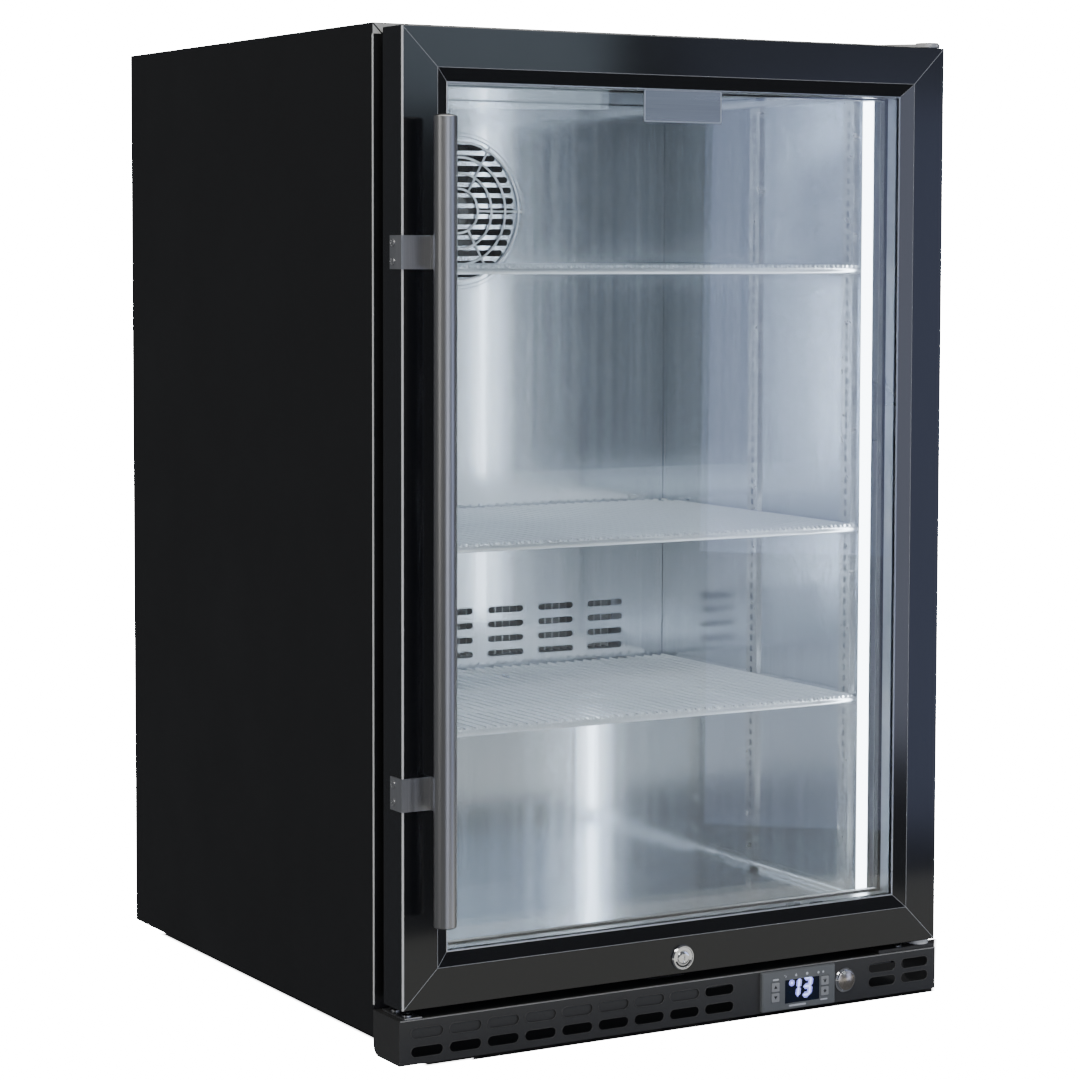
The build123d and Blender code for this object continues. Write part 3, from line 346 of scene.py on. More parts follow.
def gloss(name, dark, light, rough, **plain):
    # lacquer or glossy plastic with faint wiping marks
    mat, tree, shader = startMaterial(name, dark, rough, **plain)
    marks = addNode(tree, "ShaderNodeGroup", node_tree=smudge)
    tintBetween(tree, marks.outputs["Clouds"], dark, light, shader.inputs["Base Color"])
    rangeTo(tree, marks.outputs["Clouds"], rough * 0.7, rough * 1.5, shader.inputs["Roughness"])
    bumpFrom(tree, marks.outputs["Clouds"], 0.05, 0.0004, shader)
    return mat


def metal(name, dark, light, rough, stretch, depth=0.00002, **plain):
    # brushed or drawn metal; stretch is the pattern's scale along each axis
    mat, tree, shader = startMaterial(name, light, rough, 1.0, **plain)
    lines = addNode(tree, "ShaderNodeGroup", node_tree=brushedLines)
    lines.inputs["Stretch"].default_value = stretch
    tintBetween(tree, lines.outputs["Lines"], dark, light, shader.inputs["Base Color"])
    rangeTo(tree, lines.outputs["Soft"], rough * 0.75, rough * 1.3, shader.inputs["Roughness"])
    bumpFrom(tree, lines.outputs["Lines"], 0.35, depth, shader)
    return mat


def clearGlass(name, tint, rough):
    mat, tree, shader = startMaterial(name, tint, rough, IOR=1.45)
    shader.inputs["Transmission Weight"].default_value = 1.0
    marks = addNode(tree, "ShaderNodeGroup", node_tree=smudge)
    rangeTo(tree, marks.outputs["Specks"], rough, rough + 0.01, shader.inputs["Roughness"])
    return mat


def glow(name, colour, strength, edge):
    # a lit diffuser, a little uneven along its length
    mat, tree, shader = startMaterial(name, (0.9, 0.92, 0.95), 0.5)
    shader.inputs["Emission Strength"].default_value = strength
    lines = addNode(tree, "ShaderNodeGroup", node_tree=brushedLines)
    lines.inputs["Stretch"].default_value = (30.0, 30.0, 50.0)
    tintBetween(tree, lines.outputs["Lines"], edge, colour, shader.inputs["Emission Color"])
    return mat


# dark and light tint, roughness, grain scale and grain depth
paints = {
    "cabinetPaint": ((0.006, 0.006, 0.0065), (0.009, 0.009, 0.0095), 0.5, 900, 0.00006),
    "plinthPaint": ((0.034, 0.034, 0.033), (0.047, 0.047, 0.0455), 0.42, 620, 0.00014),
    "blackSheet": ((0.01, 0.01, 0.01), (0.016, 0.016, 0.016), 0.55, 700, 0.00008),
    "foamRaw": ((0.7, 0.6, 0.33), (0.8, 0.71, 0.45), 0.9, 300, 0.0004),
    "breakerPlastic": ((0.02, 0.02, 0.022), (0.028, 0.028, 0.03), 0.35, 500, 0.00005),
    "softBlack": ((0.012, 0.012, 0.012), (0.02, 0.02, 0.02), 0.7, 420, 0.00008),
    "bezelGrey": ((0.13, 0.14, 0.145), (0.18, 0.19, 0.195), 0.42, 700, 0.00004),
    "keyGrey": ((0.3, 0.31, 0.32), (0.38, 0.39, 0.4), 0.45, 700, 0.00004),
    "fanPlastic": ((0.013, 0.013, 0.013), (0.022, 0.022, 0.022), 0.48, 500, 0.00005),
    "castBlack": ((0.008, 0.008, 0.008), (0.014, 0.014, 0.014), 0.34, 260, 0.00012),
    # light grey for the door's mitre seams and face bead: a painted highlight
    "seamLine": ((0.3, 0.31, 0.33), (0.4, 0.41, 0.43), 0.3, 300, 0.00001),
    # pale paint standing in for highlights on thin edges, bends and rivets
    "wornEdge": ((0.72, 0.72, 0.71), (0.86, 0.86, 0.85), 0.35, 200, 0.00001),
    # pale for the shell's top flange, partly its own colour and partly a painted reflection, and a painted
    # highlight on its left edge
    "flangeLight": ((0.7, 0.7, 0.67), (0.82, 0.82, 0.79), 0.42, 400, 0.00003),
    # pale grey for the plinth's top fold: a painted highlight
    "foldLine": ((0.4, 0.4, 0.39), (0.6, 0.6, 0.58), 0.35, 260, 0.00003),
    # a little lighter than the plinth paint: a painted sheen on the slot rims
    "rimPaint": ((0.03, 0.03, 0.03), (0.1, 0.1, 0.095), 0.32, 500, 0.00003),
    "signPale": ((0.6, 0.63, 0.68), (0.74, 0.77, 0.8), 0.5, 300, 0.00001),
    # dark print on the keys, also a painted dark reflection on the lock face
    "signDark": ((0.015, 0.015, 0.015), (0.03, 0.03, 0.03), 0.5, 300, 0.00001),
    "trayPlastic": ((0.62, 0.63, 0.64), (0.7, 0.71, 0.72), 0.42, 300, 0.00005),
}
# dark and light tint, roughness and the brush pattern's scale along each axis
metals = {
    "zincSheet": ((0.42, 0.43, 0.44), (0.6, 0.61, 0.62), 0.38, (40, 40, 40)),
    "linerSteel": ((0.6, 0.64, 0.7), (0.78, 0.81, 0.86), 0.16, (700, 700, 5)),
    "spacerBar": ((0.55, 0.56, 0.58), (0.72, 0.73, 0.75), 0.3, (90, 90, 90)),
    "handleSteel": ((0.3, 0.297, 0.29), (0.6, 0.592, 0.58), 0.36, (1500, 1500, 7)),
    "plateSteel": ((0.5, 0.5, 0.505), (0.72, 0.72, 0.725), 0.36, (1100, 1100, 12)),
    "brightSteel": ((0.6, 0.6, 0.6), (0.8, 0.8, 0.79), 0.22, (120, 900, 900)),
    "chromed": ((0.68, 0.68, 0.7), (0.86, 0.86, 0.88), 0.08, (60, 60, 60)),
    "badgeMetal": ((0.26, 0.27, 0.28), (0.38, 0.39, 0.4), 0.3, (14, 900, 900)),
    "shelfWire": ((0.86, 0.88, 0.9), (0.97, 0.98, 1.0), 0.34, (60, 60, 60)),
    "finAluminium": ((0.6, 0.62, 0.64), (0.78, 0.8, 0.82), 0.35, (50, 50, 50)),
    "copperPipe": ((0.5, 0.24, 0.14), (0.78, 0.42, 0.28), 0.3, (40, 40, 40)),
    "screwSteel": ((0.5, 0.5, 0.5), (0.8, 0.8, 0.79), 0.25, (200, 200, 200)),
    "warmSteel": ((0.34, 0.3, 0.26), (0.7, 0.64, 0.57), 0.26, (700, 60, 300)),
    "paleRim": ((0.6, 0.61, 0.62), (0.78, 0.79, 0.8), 0.35, (300, 300, 300)),
    "trimSilver": ((0.5, 0.52, 0.55), (0.7, 0.72, 0.75), 0.28, (80, 80, 80)),
    "hingeSteel": ((0.66, 0.65, 0.63), (0.9, 0.89, 0.87), 0.5, (90, 500, 500)),
}
# middle tint, strength and edge tint
glows = {
    "lampWhite": ((0.86, 0.93, 1.0), 160.0, (0.8, 0.88, 1.0)),
    "digitWhite": ((0.42, 0.52, 1.0), 2.6, (0.2, 0.3, 1.0)),
    "haloBlue": ((0.0, 0.002, 1.0), 1.1, (0.01, 0.0, 0.8)),
}
finish = {
    "doorGloss": gloss("doorGloss", (0.006, 0.0065, 0.008), (0.008, 0.0085, 0.01), 0.09, IOR=1.5),
    "paneGlass": clearGlass("paneGlass", (0.965, 0.985, 0.98), 0.0),
    "displayDark": gloss("displayDark", (0.004, 0.008, 0.02), (0.006, 0.012, 0.03), 0.08),
}
for maker, table in ((paint, paints), (metal, metals), (glow, glows)):
    finish.update({name: maker(name, *values) for name, values in table.items()})

nodeFinish = {
    "cabinetPaint": ["outer_shell"],
    "doorGloss": ["door_stile_left", "door_stile_right", "door_rail_top", "door_rail_bottom"],
    "plinthPaint": ["bottom_hinge", "plinth_grille", "plinth_baffle"],
    "zincSheet": ["machine_panel", "base_pan"],
    "blackSheet": ["rear_panel", "rear_grille"],
    "foamRaw": ["insulation_foam"],
    "linerSteel": ["inner_liner", "evaporator_cover"],
    "breakerPlastic": ["front_breaker"],
    "paneGlass": ["glass_outer", "glass_inner"],
    "spacerBar": ["glass_spacer", "light_channels"],
    "softBlack": ["glazing_bead", "door_gasket", "foot_front_left", "foot_front_right", "foot_rear_left",
                  "foot_rear_right"],
    "handleSteel": ["handle_tube"],
    "plateSteel": ["handle_brackets", "hinge_blank_plate"],
    "hingeSteel": ["top_hinge"],
    "brightSteel": ["cabinet_screws", "door_screws", "shelf_standards", "shelf_clips"],
    "chromed": ["lock_barrel", "lock_plug", "light_switch_body", "light_switch_cap"],
    "badgeMetal": ["badge_plate"],
    "shelfWire": ["shelf_lower", "shelf_middle", "shelf_upper"],
    "lampWhite": ["light_diffusers"],
    "bezelGrey": ["controller_case"],
    "displayDark": ["display_window"],
    "keyGrey": ["key_up", "key_down", "key_light", "key_defrost"],
    "fanPlastic": ["cable_gland", "evaporator_fan_frame", "evaporator_fan_rotor", "condenser_fan_frame",
                   "condenser_fan_rotor", "condenser_coil"],
    "finAluminium": ["evaporator_coil"],
    "castBlack": ["compressor"],
    "copperPipe": ["refrigerant_lines"],
    "trayPlastic": ["condensate_drain", "hinge_bushes"],
}
for finishName, members in nodeFinish.items():
    for member in members:
        materials = cad[member].data.materials
        materials.clear()
        materials.append(finish[finishName])
print(stageWords, "finishes on", sum(len(m) for m in nodeFinish.values()), "frame nodes")


def doorEdges():
    left, front = boxOf("door_stile_left")[0][:2]
    return {"left": left, "right": boxOf("door_stile_right")[1][0], "bottom": boxOf("door_rail_bottom")[0][2],
            "top": boxOf("door_rail_top")[1][2], "front": front}


door = doorEdges()
shellLow, shellHigh = boxOf("outer_shell")
hingeLow, hingeHigh = boxOf("top_hinge")
plinthLow, plinthHigh = boxOf("plinth_grille")
windowLow, _ = boxOf("display_window")

frameLines = {"faceWidth": 0.032, "lipWidth": 0.011, "lipDrop": 0.0054, "seamWide": 0.0003, "seamProud": 0.00012,
              "kinkRadius": 0.00022, "trimRadius": 0.0009, "edgeRadius": 0.001, "edgeInset": 0.0008,
              "seamStart": 0.0006, "edgeEnds": (0.0006, 0.0004)}


def makeFrameLines():
    # mitre seams: a low ridge along the corner diagonal, over the face and down the lip, light grey as a painted
    # highlight
    f = frameLines
    ridge = np.array([(-1, -0.4), (-0.5, 1), (0.5, 1), (1, -0.4)]) * [f["seamWide"], f["seamProud"]]
    inward = np.array([f["seamStart"], f["faceWidth"], f["faceWidth"] + f["lipWidth"]])
    depth = np.array([0.0, 0.0, f["lipDrop"]])
    grids = []
    for sx, x in ((1, door["left"]), (-1, door["right"])):
        for sz, z in ((1, door["bottom"]), (-1, door["top"])):
            path = np.stack([x + sx * inward, door["front"] + depth, z + sz * inward], -1)
            grids.append(sweep(path, np.array([sx, 0, -sz]) * math.sqrt(0.5), (0, -1, 0), ridge))
    addPiece("mitreSeams", *joinGrids(grids), "door", "seamLine", "door_frame_black", smooth=False)
    # the fine line where the face turns into the lip: a round bead along the rectangle, light grey as a painted
    # highlight
    halfWide = (door["right"] - door["left"]) / 2 - f["faceWidth"]
    halfTall = (door["top"] - door["bottom"]) / 2 - f["faceWidth"]
    centre = ((door["left"] + door["right"]) / 2, door["front"], (door["bottom"] + door["top"]) / 2)
    corners = np.array([(1, -1), (1, 1), (-1, 1), (-1, -1)], float)
    bead = ovalProfile(f["kinkRadius"], f["kinkRadius"])
    loop = loopSweep(corners * [halfWide, halfTall], corners, bead, centre)
    addPiece("faceBead", *joinGrids([loop]), "door", "seamLine", "door_frame_black")
    # a bright bead round the glass, at the lip's inner edge
    inset = f["lipWidth"] + f["trimRadius"] * 0.4
    trim = ovalProfile(f["trimRadius"], f["trimRadius"] * 0.8, 12)
    centre = (centre[0], door["front"] + f["lipDrop"] + f["trimRadius"] * 0.5, centre[2])
    loop = loopSweep(corners * [halfWide - inset, halfTall - inset], corners, trim, centre)
    addPiece("glassTrim", *joinGrids([loop]), "door", "trimSilver", "spacer_silver")
    # a pale rod down the door's front-left edge: a painted highlight on its edge
    x, y = door["left"] + f["edgeInset"], door["front"] + f["edgeInset"]
    foot, head = door["bottom"] + f["edgeEnds"][0], door["top"] - f["edgeEnds"][1]
    rod = rodAlong((x, y, foot), (x, y, head), f["edgeRadius"], f["edgeRadius"], 12)
    addPiece("doorLeftEdge", *rod, "door", "wornEdge", "door_frame_black")


shellTrim = {"top": 0.0006, "tall": 0.0052, "side": 0.0007, "mitre": 0.0085, "gap": 0.0009, "proud": 0.0004,
             "edgeRadius": 0.0008, "hingeGap": 0.0004, "slant": 0.003, "edgeInset": 0.0009, "edgeSink": 0.0005,
             "edgeLift": 0.004, "sink": 0.0001}


def makeShellTrim():
    # the folded front flange of the outer shell, with its mitred corner, drawn pale: partly the flange's own
    # bare colour, partly a painted reflection of the light above; the fine pale edge down its left side is a
    # painted highlight
    t = shellTrim
    y = shellLow[1]
    left, high = shellLow[0] + t["side"], shellHigh[2] - t["top"]
    right = hingeLow[0] - t["hingeGap"]
    m, g = t["mitre"], t["gap"]
    low = high - t["tall"]
    strip = [(left + g, high), (right, high), (right, low), (left + m + t["slant"], low),
             (left + m, high - m + g)]
    corner = [(left, high - g), (left, high - m), (left + m - g, high - m)]
    grids = [slab(outline, y - t["proud"], y + t["sink"]) for outline in (strip, corner)]
    addPiece("shellTopTrim", *joinGrids(grids), "cabinet", "flangeLight", "cabinet_black", smooth=False)
    x, y = shellLow[0] + t["edgeInset"], y + t["edgeSink"]
    rod = rodAlong((x, y, plinthHigh[2] + t["edgeLift"]), (x, y, high - m), t["edgeRadius"], t["edgeRadius"], 12)
    addPiece("shellLeftEdge", *rod, "cabinet", "flangeLight", "cabinet_black")


plinthLines = {"edgeRadius": 0.00065, "firstSlot": 0.0256, "pitch": 0.0354, "count": 9, "rows": (0.0153, 0.0306),
               "pair": (0.0236, 0.059), "pairRows": (0.0183, 0.031), "length": 0.0298, "width": 0.009,
               "rimRadius": 0.00038, "edge": (0.0012, 0.0006, 0.0005)}


def obroundLoop(length, width, steps=9):
    # two half circles joined by straight runs, as points and outward normals
    run = (length - width) / 2
    a = np.radians(np.concatenate([np.linspace(-90, 90, steps), np.linspace(90, 270, steps)]))
    normals = np.stack([np.cos(a), np.sin(a)], -1)
    middle = np.repeat([[run, 0], [-run, 0]], steps, axis=0)
    return middle + normals * width / 2, normals


def makePlinthLines():
    p = plinthLines
    inset, sink, drop = p["edge"]
    y, z = plinthLow[1] + sink, plinthHigh[2] - drop
    start, end = (plinthLow[0] + inset, y, z), (plinthHigh[0] - inset, y, z)
    # a pale rod along the plinth's top fold: a painted highlight
    rod = rodAlong(start, end, p["edgeRadius"], p["edgeRadius"], 12)
    addPiece("plinthTopEdge", *rod, "cabinet", "foldLine", "plinth_black")
    # slot rims drawn a little lighter than the plinth: a painted sheen on their rounded edges
    loop, normals = obroundLoop(p["length"], p["width"])
    rim, rimFaces = loopSweep(loop, normals, ovalProfile(p["rimRadius"], p["rimRadius"], 6), (0, 0, 0))
    columns = plinthLow[0] + p["firstSlot"] + p["pitch"] * np.arange(p["count"])
    places = [(x, plinthLow[1], z) for x in columns for z in p["rows"]]
    places += [(plinthHigh[0] - x, plinthLow[1], z) for x in p["pair"] for z in p["pairRows"]]
    addPiece("plinthSlotRims", *repeatAt(rim, rimFaces, places), "cabinet", "rimPaint", "plinth_black")


digits = {"one": -0.0008, "three": 0.0081, "width": 0.0064, "height": 0.0148, "stroke": 0.0017, "slant": 0.12,
          "dot": (-0.0081, 0.0046), "halo": 0.0024, "proud": 0.00012, "rise": 0.0009}
icons = {"proud": 0.00012,
         "row": [("moon", -0.0149, 0.0119), ("drop", -0.0033, 0.0119), ("disc", 0.0083, 0.0122),
                                   ("ring", 0.0203, 0.0117), ("dot", 0.0254, 0.0117)],
         "bars": [(-0.0246, 0.0102, 0.0062, 0.0015), (-0.0017, -0.0142, 0.018, 0.0016),
                  (0.0262, -0.0126, 0.0076, 0.0012)]}
signs = {"sink": 0.00002, "step": 0.000004}


def segmentOutline(x, z, length, thick, upright):
    # a bar with pointed ends, leaning with its height
    h, t = length / 2, thick / 2
    bar = np.array([(-h, 0), (-h + t, -t), (h - t, -t), (h, 0), (h - t, t), (-h + t, t)])
    bar = bar[:, ::-1] * [1, -1] if upright else bar
    bar = bar + [x, z]
    bar[:, 0] += digits["slant"] * bar[:, 1]
    return bar


def digitSegments(grow):
    d = digits
    half, tall = d["width"] / 2, d["height"] / 2
    length, thick = tall - 0.0003 + grow, d["stroke"] + grow * 1.5
    shapes = [(d["one"], z, length, thick, True) for z in (tall / 2, -tall / 2)]
    shapes += [(d["three"] + half, z, length, thick, True) for z in (tall / 2, -tall / 2)]
    shapes += [(d["three"] - 0.0002, z, d["width"] - 0.0006 + grow, thick, False) for z in (tall, 0, -tall)]
    outlines = [segmentOutline(*shape) for shape in shapes]
    outlines.append(arcOf(thick * 0.55, 0, 360, 17, d["dot"])[:-1])
    return outlines


def makeDisplay():
    middle = middleOf("display_window")
    centre = np.array([middle[0], windowLow[1], middle[2] + digits["rise"]])
    for name, grow, lift, mat in (("displayHalo", digits["halo"], 0.4, "haloBlue"),
                                  ("displayDigits", 0.0, 1.0, "digitWhite")):
        grids = []
        for k, outline in enumerate(digitSegments(grow)):
            front = -digits["proud"] * lift - signs["step"] * k
            grids.append(slab(outline, front, signs["sink"], centre))
        addPiece(name, *joinGrids(grids), "cabinet", mat, "display_dark", smooth=False)


def iconOutline(kind):
    # small plain signs: moon, drop, disc, ring and dot, about 2 mm across
    if kind == "moon":
        return np.concatenate([arcOf(0.0013, -60, 160, 12), arcOf(0.001, 150, -40, 9, (-0.0004, 0.0005))])
    if kind == "drop":
        return np.concatenate([arcOf(0.001, -220, 40, 14), [(0, 0.0019)]])
    radius = {"disc": 0.00125, "ring": 0.0011, "dot": 0.00095}[kind]
    return arcOf(radius, 0, 360, 17)[:-1]


def makeBezelSigns():
    centre = frontOf("controller_case")
    grids = [slab(iconOutline(kind), -icons["proud"], signs["sink"], centre + [x, 0, z])
             for kind, x, z in icons["row"]]
    for x, z, wide, tall in icons["bars"]:
        loop, _ = obroundLoop(wide, tall, 5)
        grids.append(slab(loop, -icons["proud"], signs["sink"], centre + [x, 0, z]))
    addPiece("bezelSigns", *joinGrids(grids), "cabinet", "signPale", "controller_grey", smooth=False)


keySigns = {"proud": 0.00012, "size": 0.0017, "line": 0.0006}


def turnedBar(left, right, low, high, angle):
    # a rectangle turned about the key's middle
    bar = np.array([(left, low), (right, low), (right, high), (left, high)])
    return bar @ np.array([[math.cos(angle), math.sin(angle)], [-math.sin(angle), math.cos(angle)]])


def keyOutlines(kind):
    size, half = keySigns["size"], keySigns["line"] / 2
    if kind in ("up", "down"):
        turn = 1 if kind == "up" else -1
        return [np.array([(-size, -size * 0.8), (size, -size * 0.8), (0, size)]) * [1, turn]]
    if kind == "light":
        rays = [turnedBar(-half, half, size * 0.85, size * 1.35, a) for a in np.radians((0, 60, -60))]
        base = turnedBar(-size * 0.45, size * 0.45, -size, -size * 0.55, 0)
        return [arcOf(size * 0.62, 0, 360, 17)[:-1], base] + rays
    return [turnedBar(-size, size, -half, half, a) for a in np.radians((0, 60, 120))]


def makeKeySigns():
    for kind, node, body in (("up", "key_up", "up_key"), ("down", "key_down", "down_key"),
                             ("light", "key_light", "light_key"), ("defrost", "key_defrost", "defrost_key")):
        centre = frontOf(node)
        grids = [slab(outline, -keySigns["proud"] - signs["step"] * k, signs["sink"], centre)
                 for k, outline in enumerate(keyOutlines(kind))]
        addPiece(kind + "KeySign", *joinGrids(grids), body, "signDark", "key_grey", smooth=False)


lockFace = {"ringOuter": 0.0104, "ringInner": 0.0088, "ringProud": 0.0007, "arcOuter": 0.0083,
            "arcInner": 0.0066,
            "arcStart": 200, "arcEnd": 340, "plugRadius": 0.0053, "plugProud": 0.0008}


def makeLock():
    f = lockFace
    centre = frontOf("lock_barrel")
    ro, ri, h = f["ringOuter"], f["ringInner"], f["ringProud"]
    profile = [(ri, -0.0002), (ri, h * 0.5), (ri + 0.0003, h), (ro - 0.0006, h), (ro - 0.0001, h * 0.4),
               (ro, -0.0002), (ri, -0.0002)]
    addPiece("lockRing", *joinGrids([turned(profile, centre, (0, -1, 0), 56)]), "door", "chromed", "chrome")
    # a dark arc below the plug on the chrome face: a painted reflection
    arc = np.concatenate([arcOf(f["arcOuter"], f["arcStart"], f["arcEnd"], 20),
                          arcOf(f["arcInner"], f["arcEnd"], f["arcStart"], 20)])
    addPiece("lockDarkReflection", *slab(arc, -0.00012, 0.00005, centre), "door", "signDark", "chrome", smooth=False)
    face = np.array([centre[0], boxOf("lock_plug")[0][1], centre[2]])
    r = np.linspace(0, f["plugRadius"], 12)
    t = r / f["plugRadius"]
    a = np.linspace(0, 2 * np.pi, 48, endpoint=False)
    x, z = r[:, None] * np.cos(a), r[:, None] * np.sin(a)
    slot = np.clip((0.0009 - np.abs(x)) / 0.0003, 0, 1) * np.clip((0.0037 - np.abs(z)) / 0.0004, 0, 1)
    rise = f["plugProud"] * np.sqrt(np.clip(1 - 0.55 * t[:, None] ** 4, 0, 1)) - f["plugProud"] * 0.9 * slot
    dome = np.stack([x + face[0], face[1] - rise, z + face[2]], -1)
    foot = np.stack([x[-1:] + face[0], np.full((1, 48), face[1] + 0.0002), z[-1:] + face[2]], -1)
    cap = np.concatenate([dome, foot, foot * 0 + face + [0, 0.0002, 0]])
    addPiece("lockPlugFace", cap, gridFaces(len(cap), 48, wrapCols=True).tolist(), "lock", "chromed", "chrome")


lightButton = {"radius": 0.0084, "rise": 0.0016}


def makeLightButton():
    # a shallow dome: height = rise * (1 - (r / radius) squared)
    centre = frontOf("light_switch_cap")
    r = np.linspace(0, lightButton["radius"], 14)
    h = lightButton["rise"] * (1 - (r / lightButton["radius"]) ** 2) + 0.00005
    profile = np.concatenate([np.stack([r, h], -1), [(lightButton["radius"], -0.0002), (0, -0.0002)]])
    addPiece("lightButtonDome", *joinGrids([turned(profile, centre, (0, -1, 0), 56)]), "light_button",
             "warmSteel", "chrome")


badge = {"inset": 0.0008, "corner": 0.0012, "wide": 0.0007, "tall": 0.0004}


def makeBadgeRim():
    low, high = boxOf("badge_plate")
    half = (high - low) / 2 - badge["inset"]
    centre = ((low[0] + high[0]) / 2, low[1] + 0.0002, (low[2] + high[2]) / 2)
    loop, normals = roundedLoop(half[0], half[2], badge["corner"])
    rim = loopSweep(loop, normals, ovalProfile(badge["wide"], badge["tall"]), centre)
    addPiece("badgeRim", *joinGrids([rim]), "door", "paleRim", "badge_metal")


screws = {"rise": 0.72, "recess": 0.62, "arm": 0.0006, "reach": 0.0023, "soft": 0.00035, "rings": 13,
          "steps": 48}


def screwSpots(node):
    # each loose screw of a node: head middle, head radius, way it points, head height, length and shank radius
    bm = bmesh.new()
    bm.from_mesh(cad[node].data)
    bmesh.ops.remove_doubles(bm, verts=bm.verts, dist=1e-6)
    seen, spots = set(), []
    for first in bm.verts:
        if first in seen:
            continue
        island, stack = [], [first]
        seen.add(first)
        while stack:
            vert = stack.pop()
            island.append(tuple(vert.co))
            for edge in vert.link_edges:
                other = edge.other_vert(vert)
                if other not in seen:
                    seen.add(other)
                    stack.append(other)
        points = np.array(island)
        best = None
        for axis in range(3):
            flat = [k for k in range(3) if k != axis]
            for sign in (-1, 1):
                along = points[:, axis] * sign
                ring = points[along > along.max() - 1e-5]
                spread = np.ptp(ring[:, flat], axis=0).min()
                if best is None or spread > best[0]:
                    way = np.zeros(3)
                    way[axis] = sign
                    levels = np.unique(np.round(along.max() - along, 5))
                    tail = points[along < along.min() + 1e-5]
                    best = (spread, (ring.max(axis=0) + ring.min(axis=0)) / 2, way, levels[1], levels[-1],
                            np.ptp(tail[:, flat], axis=0).min() / 2)
        spots.append((best[1], best[0] / 2) + best[2:])
    bm.free()
    return spots


def screwFace(top, radius, way, head, length, shank):
    # a pan head: a dome over the polar grid, less a cross-shaped recess, closed by its side and shank
    s = screws
    helper = np.array([0, 0, 1.0]) if abs(way[2]) < 0.9 else np.array([1.0, 0, 0])
    e1 = np.cross(helper, way)
    e2 = np.cross(way, e1)
    r = np.linspace(0, radius, s["rings"])[:, None]
    a = np.linspace(0, 2 * np.pi, s["steps"], endpoint=False)
    x, z = r * np.cos(a), r * np.sin(a)
    near, far = np.minimum(np.abs(x), np.abs(z)), np.maximum(np.abs(x), np.abs(z))
    cross = np.clip((s["arm"] - near) / s["soft"], 0, 1) * np.clip((s["reach"] - far) / s["soft"], 0, 1)
    drop = head * (s["rise"] * (1 - np.sqrt(1 - 0.97 * (r / radius) ** 2)) + s["recess"] * cross)
    dome = x[..., None] * e1 + z[..., None] * e2 - drop[..., None] * way + top
    ring = np.cos(a)[:, None] * e1 + np.sin(a)[:, None] * e2
    low = [(radius, head), (shank, head), (shank, length), (0, length)]
    points = np.concatenate([dome] + [(ring * wide - way * deep + top)[None] for wide, deep in low])
    return points.reshape(-1, 3), gridFaces(len(points), s["steps"], wrapCols=True).tolist()


def makeScrewFaces():
    for node, body in (("door_screws", "door"), ("cabinet_screws", "cabinet")):
        grids = [screwFace(*spot) for spot in screwSpots(node)]
        piece = addPiece(body + "PanScrews", *joinGrids(grids), body, "screwSteel", "hardware_steel")
        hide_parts(node)
        print(stageWords, body, "screws", len(grids))


handleEnds = {"radius": 0.0086, "rise": 0.0014}


def makeHandleEnds():
    # domed plugs in the two ends of the tube
    low, high = boxOf("handle_tube")
    middle = (low + high) / 2
    t = np.linspace(0, np.pi / 2, 9)
    profile = np.stack([handleEnds["radius"] * np.sin(t), handleEnds["rise"] * np.cos(t)], -1)
    profile = np.concatenate([profile, [(handleEnds["radius"], -0.0003), (0, -0.0003)]])
    grids = [turned(profile, (middle[0], middle[1], z), (0, 0, way), 40)
             for z, way in ((low[2], -1), (high[2], 1))]
    addPiece("handleEndPlugs", *joinGrids(grids), "door", "softBlack", "black_rubber")


gasketShape = {"corner": 0.006, "halfWide": 0.0075, "depth": 0.0138, "profile": [
    (-7.5, 0), (7.5, 0), (7.5, 1.6), (3.2, 2.0), (5.6, 3.4), (6.8, 5.0), (5.0, 6.7), (6.9, 8.3), (7.3, 9.8),
    (7.4, 13.2), (6.6, 13.8), (-6.6, 13.8), (-7.4, 13.2), (-7.3, 9.8), (-5.4, 8.9), (-6.6, 7.0), (-4.8, 5.4),
    (-6.4, 3.6), (-3.2, 2.0), (-7.5, 1.6)]}


def makeGasket():
    # a magnetic bellows seal: its section carried round the door
    low, high = boxOf("door_gasket")
    centre = ((low[0] + high[0]) / 2, low[1], (low[2] + high[2]) / 2)
    half = (high - low) / 2 - gasketShape["halfWide"]
    loop, normals = roundedLoop(half[0], half[2], gasketShape["corner"])
    profile = np.array(gasketShape["profile"]) / 1000
    profile[:, 1] *= (high[1] - low[1]) / gasketShape["depth"]
    gasket = addPiece("gasketBellows", *joinGrids([loopSweep(loop, normals, profile, centre)]), "door",
                      "softBlack", "black_rubber")
    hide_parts("door_gasket")


shelfTips = {"pitch": 0.01, "sideInset": 0.006, "radius": 0.00155, "rows": 5, "steps": 8, "drop": 0.0013,
             "sink": 0.0009}


def makeShelfTips():
    # rounded ends on the shelf wires
    rows, steps = shelfTips["rows"], shelfTips["steps"]
    t = np.linspace(0, np.pi, rows)
    profile = np.stack([np.sin(t), np.cos(t)], -1) * shelfTips["radius"]
    ball, ballFaces = turned(profile, (0, 0, 0), (0, -1, 0), steps)
    for level in ("upper", "middle", "lower"):
        body = level + "_shelf"
        low, high = boxOf("shelf_" + level)
        reach = high[0] - low[0] - 2 * shelfTips["sideInset"]
        count = int(reach / shelfTips["pitch"])
        x = (low[0] + high[0]) / 2 + (np.arange(count + 1) - count / 2) * shelfTips["pitch"]
        y, z = low[1] + shelfTips["sink"], high[2] - shelfTips["drop"]
        places = np.stack([x, np.full(count + 1, y), np.full(count + 1, z)], -1)
        addPiece(body + "Tips", *repeatAt(ball, ballFaces, places), body, "shelfWire", "shelf_chrome")


fanGuard = {"rings": (0.021, 0.036, 0.051, 0.0655), "wire": 0.0011, "spokes": 6, "trimInner": 0.0705,
            "trimOuter": 0.0745, "stand": 0.0026}


